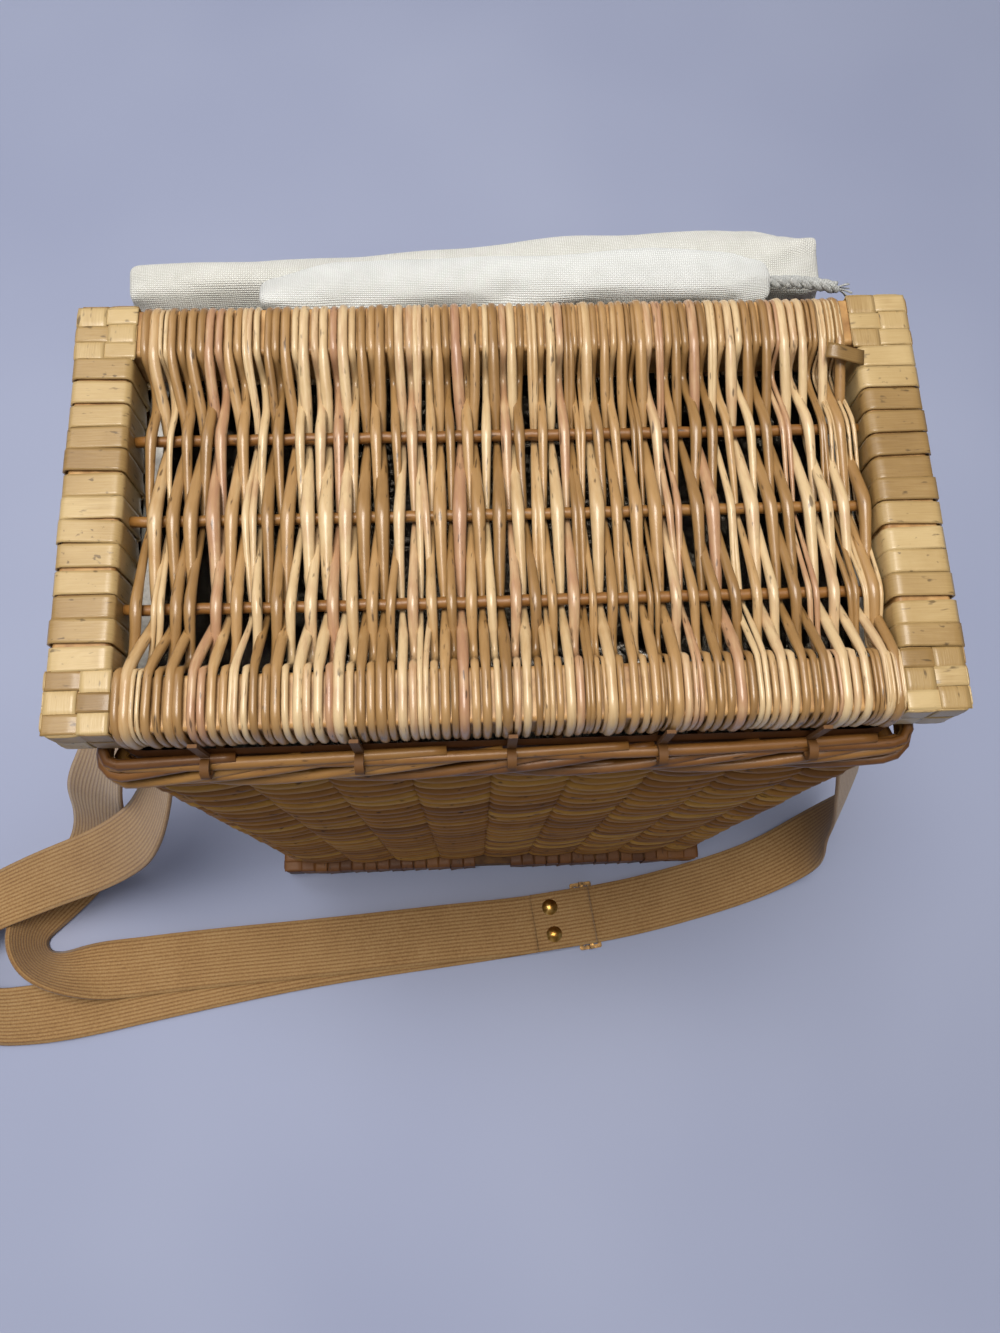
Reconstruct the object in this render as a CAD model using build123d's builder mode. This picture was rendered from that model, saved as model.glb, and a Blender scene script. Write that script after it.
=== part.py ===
# Tall wicker picnic basket with a batten-framed lid, an insulated canvas liner and a webbing strap.
# Millimetres. Origin: middle of the basket's underside, on the floor. +X to the right, +Y to the back, +Z up.
# The strap lies in front of the basket (-Y), the lid is hinged along the front and opens at the back.
from build123d import *
import math
import os

os.makedirs("parts", exist_ok=True)

# Overall sizes
overall_height = 411.0
lid_width = 290.0
lid_depth = 156.0
base_width = 282.0
base_depth = 174.0
wall_width = 268.0
wall_depth = 160.0
wall_corner = 14.0
skin_thickness = 4.0

# Framing timber and what is wound on it
batten_width = 18.0
batten_height = 18.0
batten_edge = 1.7
base_batten_width = 18.0
base_batten_height = 18.0
skein_thickness = 1.0
skein_width = 7.6
skein_gap = 0.5
skein_bend = 0.6
plait_thickness = 1.0
plait_reach = 20.0
nail_diameter = 2.2
nail_length = 34.0

# Willow rods of the lid
rod_diameter = 3.0
rod_pitch = 3.25
rod_pairs = 38
rod_bend = 3.2
tail_length = 18.0
cross_rod_diameter = 4.0
cross_rod_rise = 13.0
cross_rod_places = (28.0, -1.5, -32.5)
cross_flat = 5.0
drop_run = 3.5

# Body weave, stakes and border
border_rod_diameter = 4.6
border_rods = 3
stake_diameter = 3.6
corner_stake_diameter = 6.0
stake_pitch = 16.0
back_rim_dip = 1.5

# Hinge loops: split rods that turn on the border's top rod
loop_count = 5
loop_pitch = 50.0
loop_width = 3.0
loop_thickness = 1.2
loop_rise = 16.0
loop_clearance = 0.06
loop_notch = 0.4

# Base floor
slat_width = 24.0
slat_nail_spacing = 12.0
floor_thickness = 4.0

# Liner
canvas_thickness = 1.0
foam_thickness = 4.0
foil_thickness = 0.5
liner_corner = 20.0
liner_below_rim = 3.0
layer_gap = 0.2
skirt_width = 236.0
drawcord_diameter = 4.0
drawcord_length = 27.0
hem_diameter = 2.6
hem_out = 0.4
front_fold_span = (-84.0, 102.0)
front_fold_out = 13.4
front_fold_rise = 6.45
front_fold_half = (10.6, 6.0)
back_fold_span = (-137.0, 126.0)
back_fold_out = 27.0
back_fold_rise = -9.1
back_fold_half = (14.6, 12.0)

# Webbing strap and its metal parts
strap_width = 38.0
strap_thickness = 2.0
loop_bar_height = 5.0
loop_bar_thickness = 1.6
footman_standoff = 3.15
footman_foot = 10.0
footman_below_rim = 36.5
footman_side_clearance = 1.5
fold_leg = 18.0
end_leg = 34.0
slider_length = 15.0
slider_rim = 2.6
slider_side_clearance = 0.8
slider_thickness = 1.6
slider_bar_thickness = 1.2
slider_bar_width = 2.4
slider_leg = 36.0
slider_place = (63.0, -121.7)
slider_turn = 7.0
rivet_head_diameter = 10.6
rivet_head_height = 2.0
rivet_shank_diameter = 3.0
rivet_tail_diameter = 6.0
rivet_tail_thickness = 0.5
rivet_from_bar = 24.0
rivet_spacing = 18.0
loop_rivet_head = 5.0
loop_rivet_shank = 2.4

# Clearances
touch = 0.1
slip = 0.15
seat = 0.3

# Levels that follow from the sizes
lid_height = batten_height + 2 * (rod_diameter + touch)
lid_level = overall_height - lid_height
rim_level = lid_level - seat
footman_level = rim_level - footman_below_rim
lid_batten_level = lid_level + rod_diameter + touch
base_batten_level = skein_thickness + touch
base_level = base_batten_height + 2 * (skein_thickness + touch)
wall_level = base_level + touch
hinge_y = -(wall_depth / 2 + touch + border_rod_diameter / 2)
hinge_z = rim_level - border_rod_diameter / 2


def save(part, name):
    """Labels a finished piece and writes its STEP file."""
    part.label = name
    export_step(part, f"parts/{name}.step")
    return part


def slab(x0, x1, y0, y1, z0, z1, mode=Mode.ADD):
    """A block between two corners, inside the open builder."""
    with Locations(((x0 + x1) / 2, (y0 + y1) / 2, (z0 + z1) / 2)):
        Box(x1 - x0, y1 - y0, z1 - z0, mode=mode)


# Both frames: full-depth end battens with the front and back battens between them.
# Each outline is measured over what covers it: skein at the ends, rods or skein at front and back.
def frame_sizes(width, depth, side_cover, breadth):
    """Outer and inner edges of a frame's battens, in X and Y."""
    outer_x = width / 2 - skein_thickness - touch
    outer_y = depth / 2 - side_cover - touch
    return outer_x, outer_x - breadth, outer_y, outer_y - breadth


lid_ox, lid_ix, lid_oy, lid_iy = frame_sizes(lid_width, lid_depth, rod_diameter, batten_width)
base_ox, base_ix, base_oy, base_iy = frame_sizes(
    base_width, base_depth, skein_thickness, base_batten_width
)


def end_batten(side, ox, ix, oy, iy, z, height, name):
    """A left or right batten, bored at both ends for the corner nails."""
    with BuildPart() as batten:
        slab(min(side * ox, side * ix), max(side * ox, side * ix), -oy, oy, z, z + height)
        fillet(batten.edges().filter_by(Axis.Y), radius=batten_edge)
        with BuildSketch(Plane.YZ.offset(side * (ox + ix) / 2)):
            with Locations((-(oy + iy) / 2, z + height / 2), ((oy + iy) / 2, z + height / 2)):
                Circle(nail_diameter / 2 + touch / 2)
        extrude(amount=ox - ix, both=True, mode=Mode.SUBTRACT)
    return save(batten.part, name)


def long_batten(side, ox, ix, oy, iy, z, height, name, cross_nails=()):
    """A front or back batten between the end battens, bored at both ends and at cross_nails."""
    with BuildPart() as batten:
        y0, y1 = sorted((side * oy, side * iy))
        slab(-ix + touch, ix - touch, y0, y1, z, z + height)
        fillet(batten.edges().filter_by(Axis.X), radius=batten_edge)
        for end in (-1, 1):
            with Locations((end * ix, side * (oy + iy) / 2, z + height / 2)):
                Cylinder(
                    nail_diameter / 2 + touch / 2,
                    2 * (nail_length - (ox - ix)) + touch,
                    rotation=(0, 90, 0),
                    mode=Mode.SUBTRACT,
                )
        for x in cross_nails:
            with Locations((x, side * (oy + iy) / 2, z + height / 2)):
                Cylinder(
                    nail_diameter / 2 + touch / 2, 2 * (oy - iy), rotation=(90, 0, 0), mode=Mode.SUBTRACT
                )
    return save(batten.part, name)


def frame_nails(ox, oy, iy, z, height, name):
    """Four corner nails, driven in from the ends through the end battens."""
    with BuildPart() as nails:
        for sx in (-1, 1):
            with Locations(
                (sx * (ox - nail_length / 2), -(oy + iy) / 2, z + height / 2),
                (sx * (ox - nail_length / 2), (oy + iy) / 2, z + height / 2),
            ):
                Cylinder(nail_diameter / 2, nail_length - 2 * touch, rotation=(0, 90, 0))
    return save(nails.part, name)


for side, word in ((-1, "left"), (1, "right")):
    end_batten(side, lid_ox, lid_ix, lid_oy, lid_iy, lid_batten_level, batten_height, f"lid_batten_{word}")
    end_batten(
        side, base_ox, base_ix, base_oy, base_iy, base_batten_level, base_batten_height, f"base_batten_{word}"
    )
for side, word in ((-1, "front"), (1, "back")):
    long_batten(side, lid_ox, lid_ix, lid_oy, lid_iy, lid_batten_level, batten_height, f"lid_batten_{word}")
    long_batten(
        side, base_ox, base_ix, base_oy, base_iy, base_batten_level, base_batten_height, f"base_batten_{word}",
        (-slat_nail_spacing / 2, slat_nail_spacing / 2),
    )
frame_nails(lid_ox, lid_oy, lid_iy, lid_batten_level, batten_height, "lid_frame_nails")
frame_nails(base_ox, base_oy, base_iy, base_batten_level, base_batten_height, "base_frame_nails")


# Skein windings: one flat split-willow band wound square round a batten, each turn beside the last.
# The band crosses to its next turn on the underside, where it does not show.
def winding(length, breadth, height):
    """One band along +Y, centred on the origin, round a batten of that section."""
    near_x = breadth / 2 + touch
    near_z = height / 2 + touch
    far_x = near_x + skein_thickness
    far_z = near_z + skein_thickness
    flat_x = near_x - skein_bend
    turns = int((length - skein_width) // (skein_width + skein_gap)) + 1
    pitch = (length - skein_width) / (turns - 1)
    first = -(length - skein_width) / 2
    half = skein_width / 2
    places = [(0, first + turn * pitch, 0) for turn in range(turns)]
    with BuildPart() as band:
        with BuildSketch(Plane.XZ):
            RectangleRounded(2 * far_x, 2 * far_z, skein_bend + skein_thickness)
            RectangleRounded(2 * near_x, 2 * near_z, skein_bend, mode=Mode.SUBTRACT)
            with Locations((0, -(near_z + skein_thickness / 2))):
                Rectangle(2 * flat_x, 1.5 * skein_thickness, mode=Mode.SUBTRACT)
        hoops = extrude(amount=half, both=True, mode=Mode.PRIVATE)
        for place in places:
            add(Pos(*place) * hoops)
        with BuildSketch(Plane.XY.offset(-far_z)):
            for turn in range(turns - 1):
                y = first + turn * pitch
                Polygon(
                    (-flat_x, y - half), (-flat_x, y + half), (flat_x, y + pitch + half), (flat_x, y + pitch - half),
                    align=None,
                )
        extrude(amount=skein_thickness)
    slope = math.cos(math.atan2(pitch, 2 * flat_x))
    print("winding", turns, "turns, least gap", round((pitch - skein_width) * slope, 2))
    return band.part


def wound_y(side, ox, ix, oy, z, breadth, height, name):
    """A winding on a left or right batten."""
    band = winding(2 * (oy - plait_reach), breadth, height)
    return save(Location((side * (ox + ix) / 2, 0, z + height / 2)) * band, name)


for side, word in ((-1, "left"), (1, "right")):
    wound_y(side, lid_ox, lid_ix, lid_oy, lid_batten_level, batten_width, batten_height, f"lid_skein_{word}")
    wound_y(
        side, base_ox, base_ix, base_oy, base_batten_level, base_batten_width, base_batten_height,
        f"base_skein_{word}",
    )

# The base's long battens are wound in two halves, with the cross slat butted between them.
half_run = base_ix - (plait_reach - base_batten_width) - slat_width / 2 - 2 * touch
half_middle = slat_width / 2 + touch + half_run / 2
half_band = winding(half_run, base_batten_width, base_batten_height)
for side, word in ((-1, "front"), (1, "back")):
    y = side * (base_oy + base_iy) / 2
    z = base_batten_level + base_batten_height / 2
    with BuildPart() as pair:
        add(Location((-half_middle, y, z), (0, 0, 90)) * half_band)
        add(Location((half_middle, y, z), (0, 0, 90)) * half_band)
    save(pair.part, f"base_skein_{word}")


# Cross slat between the base's long battens, flat on the floor, nailed through them
with BuildPart() as base_slat:
    slab(-slat_width / 2, slat_width / 2, -base_iy + touch, base_iy - touch, 0, base_level)
    for side in (-1, 1):
        with Locations(
            (-slat_nail_spacing / 2, side * base_iy, base_level / 2),
            (slat_nail_spacing / 2, side * base_iy, base_level / 2),
        ):
            Cylinder(
                nail_diameter / 2 + touch / 2,
                2 * (nail_length - base_batten_width) + touch,
                rotation=(90, 0, 0),
                mode=Mode.SUBTRACT,
            )
save(base_slat.part, "base_slat")

with BuildPart() as slat_nails:
    for side in (-1, 1):
        with Locations(
            (-slat_nail_spacing / 2, side * (base_oy - nail_length / 2), base_level / 2),
            (slat_nail_spacing / 2, side * (base_oy - nail_length / 2), base_level / 2),
        ):
            Cylinder(nail_diameter / 2, nail_length - 2 * touch, rotation=(90, 0, 0))
save(slat_nails.part, "slat_nails")


# Corner plaits: a woven cap of skein over each corner of both frames
def corner_plait(sx, sy, ox, oy, z, height, name):
    """A cap over one corner: top, underside and the two outer faces."""
    reach = plait_reach
    with BuildPart() as cap:
        x0, x1 = ox - reach, ox + touch + plait_thickness
        y0, y1 = oy - reach, oy + touch + plait_thickness
        low = z - touch - plait_thickness
        high = z + height + touch + plait_thickness
        xs = sorted((sx * x0, sx * x1))
        ys = sorted((sy * y0, sy * y1))
        slab(xs[0], xs[1], ys[0], ys[1], low, high)
        hx = sorted((sx * (x0 - reach), sx * (ox + touch)))
        hy = sorted((sy * (y0 - reach), sy * (oy + touch)))
        slab(hx[0], hx[1], hy[0], hy[1], z - touch, z + height + touch, mode=Mode.SUBTRACT)
    return save(cap.part, name)


for sx, wx in ((-1, "left"), (1, "right")):
    for sy, wy in ((-1, "front"), (1, "back")):
        corner_plait(sx, sy, lid_ox, lid_oy, lid_batten_level, batten_height, f"lid_plait_{wy}_{wx}")
        corner_plait(sx, sy, base_ox, base_oy, base_batten_level, base_batten_height, f"base_plait_{wy}_{wx}")

# Lid weave: thick cross rods, and willow rods over and under them, wrapped round the long battens
cross_level = lid_level + cross_rod_rise
cross_half = lid_ix - touch - skein_thickness - touch
with BuildPart() as lid_cross_rods:
    for y in cross_rod_places:
        with Locations((0, y, cross_level)):
            Cylinder(cross_rod_diameter / 2, 2 * cross_half, rotation=(0, 90, 0))
save(lid_cross_rods.part, "lid_cross_rods")

weave_step = (cross_rod_diameter + rod_diameter) / 2 + touch
rail_top = lid_batten_level + batten_height + touch + rod_diameter / 2
rail_under = lid_level + rod_diameter / 2
rail_out = lid_oy + touch + rod_diameter / 2
tail_end = rail_out - tail_length
inner_edge = lid_iy - touch
drop_y = lid_iy - touch - rod_diameter / 2


def lid_rod_points(over):
    """Corner points of a rod's centre line, (y, z), back tail first.

    A rod that goes over the first cross rod drops down the batten's inner face before it rises;
    one that goes under it runs there straight from the batten's top.
    """
    low = cross_level - weave_step
    points = [(tail_end, rail_under), (rail_out, rail_under), (rail_out, rail_top)]
    points += [(drop_y, rail_top), (drop_y - drop_run, low)] if over else [(inner_edge, rail_top)]
    signs = (1, -1, 1) if over else (-1, 1, -1)
    for y, sign in zip(cross_rod_places, signs):
        z = cross_level + sign * weave_step
        points += [(y + cross_flat / 2, z), (y - cross_flat / 2, z)]
    points += [(-(drop_y - drop_run), low), (-drop_y, rail_top)] if over else [(-inner_edge, rail_top)]
    points += [(-rail_out, rail_top), (-rail_out, rail_under), (-tail_end, rail_under)]
    return points


def lid_rod(over):
    """One willow rod of the lid, swept round along its centre line at X = 0."""
    points = [Vector(0, y, z) for y, z in lid_rod_points(over)]
    with BuildPart() as rod:
        with BuildLine() as route:
            FilletPolyline(*points, radius=rod_bend)
        with BuildSketch(Plane(origin=points[0], x_dir=(1, 0, 0), z_dir=points[1] - points[0])):
            Circle(rod_diameter / 2)
        sweep(path=route.wire())
    return rod.part


for over, name in ((True, "lid_rods_over"), (False, "lid_rods_under")):
    one = lid_rod(over)
    count = 2 * rod_pairs
    row = [((i - (count - 1) / 2) * rod_pitch, 0, 0) for i in range(0 if over else 1, count, 2)]
    with BuildPart() as rods:
        with Locations(*row):
            add(one)
    save(rods.part, name)
    print(name, len(row), "rods")

# Body weave: one closed wall of woven willow round the stakes, cut down at the back for the canvas
inner_width = wall_width - 2 * skin_thickness
inner_depth = wall_depth - 2 * skin_thickness
inner_corner = wall_corner - skin_thickness
loop_places = [(i - (loop_count - 1) / 2) * loop_pitch for i in range(loop_count)]
eye_inner = border_rod_diameter / 2 + loop_clearance
eye_outer = eye_inner + loop_thickness
foot_inner = strap_width / 2 + footman_side_clearance
foot_outer = foot_inner + loop_bar_thickness
foot_rivet = foot_outer + footman_foot / 2


def cut_loop_notches():
    """Room for the hinge loops' eyes, inside the open builder."""
    with Locations(*[(x, hinge_y, hinge_z) for x in loop_places]):
        Cylinder(eye_outer + loop_notch, loop_width + 2 * loop_notch, rotation=(0, 90, 0), mode=Mode.SUBTRACT)
    for x in loop_places:
        slab(
            x - loop_width / 2 - loop_notch, x + loop_width / 2 + loop_notch, -wall_depth / 2 - 1,
            -(lid_oy + rod_diameter + 2 * touch) + loop_notch, hinge_z, rim_level + 1, mode=Mode.SUBTRACT,
        )


with BuildPart() as body_weave:
    with BuildSketch(Plane.XY.offset(wall_level)):
        RectangleRounded(wall_width, wall_depth, wall_corner)
        RectangleRounded(inner_width, inner_depth, inner_corner, mode=Mode.SUBTRACT)
    extrude(amount=rim_level - wall_level)
    slab(
        -skirt_width / 2 - 16, skirt_width / 2 + 16, inner_depth / 2 - 1, wall_depth / 2 + 1,
        rim_level - back_rim_dip, rim_level + 1, mode=Mode.SUBTRACT,
    )
    cut_loop_notches()
    for side in (-1, 1):
        with Locations(
            (side * (wall_width / 2), -foot_rivet, footman_level), (side * (wall_width / 2), foot_rivet, footman_level)
        ):
            Cylinder(loop_rivet_shank / 2 + touch / 2, 4 * skin_thickness, rotation=(0, 90, 0), mode=Mode.SUBTRACT)
save(body_weave.part, "body_weave")

# Stakes stand inside the wall, from the base frame up to just under the rim
stake_top = rim_level - liner_below_rim
stake_height = stake_top - wall_level
stake_x = inner_width / 2 - touch - stake_diameter / 2
stake_y = inner_depth / 2 - touch - stake_diameter / 2
long_stakes = 2 * int((inner_width / 2 - inner_corner - 10) // stake_pitch) + 1
end_stakes = 2 * int((inner_depth / 2 - inner_corner - 10) // stake_pitch) + 1
with BuildPart() as wall_stakes:
    for side in (-1, 1):
        for i in range(long_stakes):
            x = (i - (long_stakes - 1) / 2) * stake_pitch
            with Locations((x, side * stake_y, wall_level + stake_height / 2)):
                Cylinder(stake_diameter / 2, stake_height)
        for i in range(end_stakes):
            y = (i - (end_stakes - 1) / 2) * stake_pitch
            with Locations((side * stake_x, y, wall_level + stake_height / 2)):
                Cylinder(stake_diameter / 2, stake_height)
save(wall_stakes.part, "wall_stakes")
print("stakes", long_stakes, end_stakes)

corner_inset = inner_corner - (inner_corner - corner_stake_diameter / 2 - touch) * math.sqrt(0.5)
with BuildPart() as corner_stakes:
    for sx in (-1, 1):
        with Locations(
            (sx * (inner_width / 2 - corner_inset), -(inner_depth / 2 - corner_inset), wall_level + stake_height / 2),
            (sx * (inner_width / 2 - corner_inset), inner_depth / 2 - corner_inset, wall_level + stake_height / 2),
        ):
            Cylinder(corner_stake_diameter / 2, stake_height)
save(corner_stakes.part, "corner_stakes")

# Border rods laid round the outside of the rim
border_names = ("border_rod_top", "border_rod_middle", "border_rod_bottom")
border_out = touch + border_rod_diameter / 2
for i in range(border_rods):
    z = hinge_z - i * (border_rod_diameter + touch)
    with BuildPart() as border:
        with BuildSketch(Plane.XY.offset(z), mode=Mode.PRIVATE) as loop:
            RectangleRounded(wall_width + 2 * border_out, wall_depth + 2 * border_out, wall_corner + border_out)
        spine = loop.sketch.faces()[0].outer_wire()
        start = spine @ 0.0
        with BuildSketch(Plane(origin=start, z_dir=spine % 0.0, x_dir=(0, 0, 1))):
            Circle(border_rod_diameter / 2)
        sweep(path=spine)
        if i == 1:
            cut_loop_notches()
    save(border.part, border_names[i])

# Hinge loops: an eye round the border's top rod and a tail up the lid's front face
tail_face = -(lid_oy + touch + rod_diameter + touch)
with BuildPart() as hinge_loops:
    for x in loop_places:
        with BuildSketch(Plane.YZ.offset(x - loop_width / 2)):
            with Locations((hinge_y, hinge_z)):
                Circle(eye_outer)
            with BuildLine():
                Polyline(
                    (tail_face, hinge_z + 1.0),
                    (tail_face, lid_level + loop_rise),
                    (tail_face - loop_thickness, lid_level + loop_rise),
                    (tail_face - loop_thickness, hinge_z + 1.0),
                    close=True,
                )
            make_face()
            with Locations((hinge_y, hinge_z)):
                Circle(eye_inner, mode=Mode.SUBTRACT)
        extrude(amount=loop_width)
save(hinge_loops.part, "hinge_loops")

# Floor of the body: a woven panel lying on the base frame and the slat
with BuildPart() as floor_panel:
    with BuildSketch(Plane.XY.offset(wall_level)):
        RectangleRounded(
            2 * (stake_x - stake_diameter / 2 - touch), 2 * (stake_y - stake_diameter / 2 - touch), liner_corner
        )
    extrude(amount=floor_thickness)
save(floor_panel.part, "floor_panel")

# Liner: canvas outside, foam between, foil inside, open at the top
liner_level = wall_level + floor_thickness + touch
liner_top = rim_level - liner_below_rim
liner_half_x = stake_x - stake_diameter / 2 - 2 * layer_gap
liner_half_y = stake_y - stake_diameter / 2 - 2 * layer_gap


def liner_layer(inset, thickness, name):
    """One layer of the liner: an open box with a floor, inset from the canvas's outer face."""
    x, y, r = liner_half_x - inset, liner_half_y - inset, liner_corner - inset
    with BuildPart() as layer:
        with BuildSketch(Plane.XY.offset(liner_level + inset)):
            RectangleRounded(2 * x, 2 * y, r)
        extrude(amount=liner_top - liner_level - inset)
        with BuildSketch(Plane.XY.offset(liner_level + inset + thickness)):
            RectangleRounded(2 * (x - thickness), 2 * (y - thickness), r - thickness)
        extrude(amount=liner_top - liner_level, mode=Mode.SUBTRACT)
    return save(layer.part, name)


foam_inset = canvas_thickness + layer_gap
foil_inset = foam_inset + foam_thickness + layer_gap
liner_layer(0, canvas_thickness, "liner_canvas")
liner_layer(foam_inset, foam_thickness, "liner_foam")
liner_layer(foil_inset, foil_thickness, "liner_foil")

# Canvas skirt: sewn to the liner's back edge, out over the back of the rim and over the border's top rod
over_wall = rim_level - back_rim_dip + touch
over_border = hinge_z + border_rod_diameter / 2 + touch
skirt_in = liner_half_y
border_y = -hinge_y
skirt_step = lid_oy + rod_diameter + 2 * touch + 0.4
skirt_end = border_y + border_rod_diameter / 2 + 3.0
with BuildPart() as liner_skirt:
    with BuildSketch(Plane.YZ.offset(-skirt_width / 2)):
        with BuildLine():
            Polyline(
                (skirt_in - canvas_thickness, liner_top + layer_gap),
                (skirt_in - canvas_thickness, over_wall + canvas_thickness),
                (skirt_step - canvas_thickness, over_wall + canvas_thickness),
                (skirt_step, over_border + canvas_thickness),
                (skirt_end, over_border + canvas_thickness),
                (skirt_end, over_border),
                (skirt_step + 0.9, over_border),
                (skirt_step, over_wall),
                (skirt_in, over_wall),
                (skirt_in, liner_top + layer_gap),
                close=True,
            )
        make_face()
    extrude(amount=skirt_width)
save(liner_skirt.part, "liner_skirt")


def bolster(x0, x1, y, z, half_y, half_z, tip, name):
    """A soft fold of canvas lying along X: an oval section that shrinks to tip times its size at the ends."""
    run = x1 - x0
    stations = (
        (x0, tip), (x0 + 0.06 * run, 0.82), (x0 + 0.2 * run, 1.0), (x0 + 0.8 * run, 1.0),
        (x0 + 0.94 * run, 0.82), (x1, tip),
    )
    with BuildPart() as fold:
        for x, part_size in stations:
            with BuildSketch(Plane.YZ.offset(x)):
                with Locations((y, z)):
                    Ellipse(half_y * part_size, half_z * part_size)
        loft()
    return save(fold.part, name)


front_fold_place = (wall_depth / 2 + front_fold_out, rim_level + front_fold_rise)
back_fold_place = (wall_depth / 2 + back_fold_out, rim_level + back_fold_rise)
bolster(*front_fold_span, *front_fold_place, *front_fold_half, 0.5, "skirt_fold_front")
bolster(*back_fold_span, *back_fold_place, *back_fold_half, 0.5, "skirt_fold_back")

with BuildPart() as skirt_hem:
    with Locations((0, wall_depth / 2 + hem_out, over_border + canvas_thickness + touch + hem_diameter / 2)):
        Cylinder(hem_diameter / 2, skirt_width, rotation=(0, 90, 0))
save(skirt_hem.part, "skirt_hem")

with BuildPart() as drawcord_end:
    with Locations((front_fold_span[1] + seat + drawcord_length / 2, *front_fold_place)):
        Cylinder(drawcord_diameter / 2, drawcord_length, rotation=(0, 90, 0))
save(drawcord_end.part, "drawcord_end")

# Strap loops: a flat metal bar standing off each end wall, riveted through it
bar_in = wall_width / 2 + footman_standoff
bar_out = bar_in + loop_bar_thickness
low = footman_level - loop_bar_height / 2
high = footman_level + loop_bar_height / 2
for side, word in ((-1, "left"), (1, "right")):
    with BuildPart() as strap_loop:
        slab(*sorted((side * bar_in, side * bar_out)), -foot_outer, foot_outer, low, high)
        for end in (-1, 1):
            ys = sorted((end * foot_inner, end * foot_outer))
            slab(*sorted((side * (wall_width / 2 + touch), side * bar_out)), *ys, low, high)
            ys = sorted((end * foot_inner, end * (foot_outer + footman_foot)))
            xs = sorted((side * (wall_width / 2 + touch), side * (wall_width / 2 + touch + loop_bar_thickness)))
            slab(*xs, *ys, low, high)
        with Locations((side * wall_width / 2, -foot_rivet, footman_level), (side * wall_width / 2, foot_rivet, footman_level)):
            Cylinder(loop_rivet_shank / 2 + touch / 2, 30, rotation=(0, 90, 0), mode=Mode.SUBTRACT)
    save(strap_loop.part, f"strap_loop_{word}")

head_in = wall_width / 2 + touch + loop_bar_thickness + touch
with BuildPart() as strap_loop_rivets:
    for side in (-1, 1):
        for y in (-foot_rivet, foot_rivet):
            with Locations((side * (head_in + 0.6), y, footman_level)):
                Cylinder(loop_rivet_head / 2, 1.2, rotation=(0, 90, 0))
            with Locations((side * (inner_width / 2 - touch - 0.4), y, footman_level)):
                Cylinder(loop_rivet_head / 2, 0.8, rotation=(0, 90, 0))
            with Locations((side * (head_in + inner_width / 2) / 2, y, footman_level)):
                Cylinder(loop_rivet_shank / 2, head_in - inner_width / 2 + 1.0, rotation=(0, 90, 0))
save(strap_loop_rivets.part, "strap_loop_rivets")

# Webbing folded over each strap loop
leg_in = bar_in - touch
leg_out = bar_out + touch
fold_middle = (bar_in + bar_out) / 2
fold_inner = loop_bar_thickness / 2 + touch


def strap_fold(side, leg, outer_leg, name):
    """Webbing turned over a strap loop's bar, with its inner leg hanging down against the wall."""
    half = strap_width / 2
    with BuildPart() as fold:
        with BuildSketch(Plane.XZ.offset(-half)):
            with Locations((side * fold_middle, high + touch)):
                Circle(fold_inner + strap_thickness)
                Circle(fold_inner, mode=Mode.SUBTRACT)
            with Locations((side * fold_middle, high + touch - 20)):
                Rectangle(40, 40, mode=Mode.SUBTRACT)
            inner_x = side * (fold_middle - fold_inner - strap_thickness / 2)
            outer_x = side * (fold_middle + fold_inner + strap_thickness / 2)
            with Locations((inner_x, high + touch - leg / 2)):
                Rectangle(strap_thickness, leg)
            with Locations((outer_x, high + touch - outer_leg / 2)):
                Rectangle(strap_thickness, outer_leg)
        extrude(amount=strap_width)
    return save(fold.part, name)


strap_fold(1, end_leg, fold_leg, "strap_fold_right")
strap_fold(-1, fold_leg, fold_leg, "strap_fold_left")
strap_x = fold_middle + fold_inner + strap_thickness / 2
under_x = fold_middle - fold_inner - strap_thickness / 2
leg_bottom = high + touch - fold_leg - touch
print("strap starts", round(strap_x, 2), round(under_x, 2), round(leg_bottom, 2))

# Strap runs: straight runs joined by tangent arcs, the webbing turning on its long axis along the way
u = Vector(math.cos(math.radians(slider_turn)), math.sin(math.radians(slider_turn)), 0)
v = Vector(-u.Y, u.X, 0)
bar = Vector(slider_place[0], slider_place[1], 0)
under_level = slider_thickness + touch + strap_thickness / 2
leg_level = under_level + strap_thickness + rivet_tail_thickness + 3 * touch
bar_level = leg_level + strap_thickness / 2 + touch + slider_bar_thickness / 2
top_level = bar_level + slider_bar_thickness / 2 + touch + strap_thickness / 2


def bend_radii(points):
    """The largest easy bend at each corner: 0.45 of the shorter run over the tangent of half the turn."""
    radii = []
    for a, b, c in zip(points, points[1:], points[2:]):
        turn = (b - a).get_angle(c - b)
        radii.append(0.45 * min((b - a).length, (c - b).length) / math.tan(math.radians(turn / 2)))
    return radii


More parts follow.
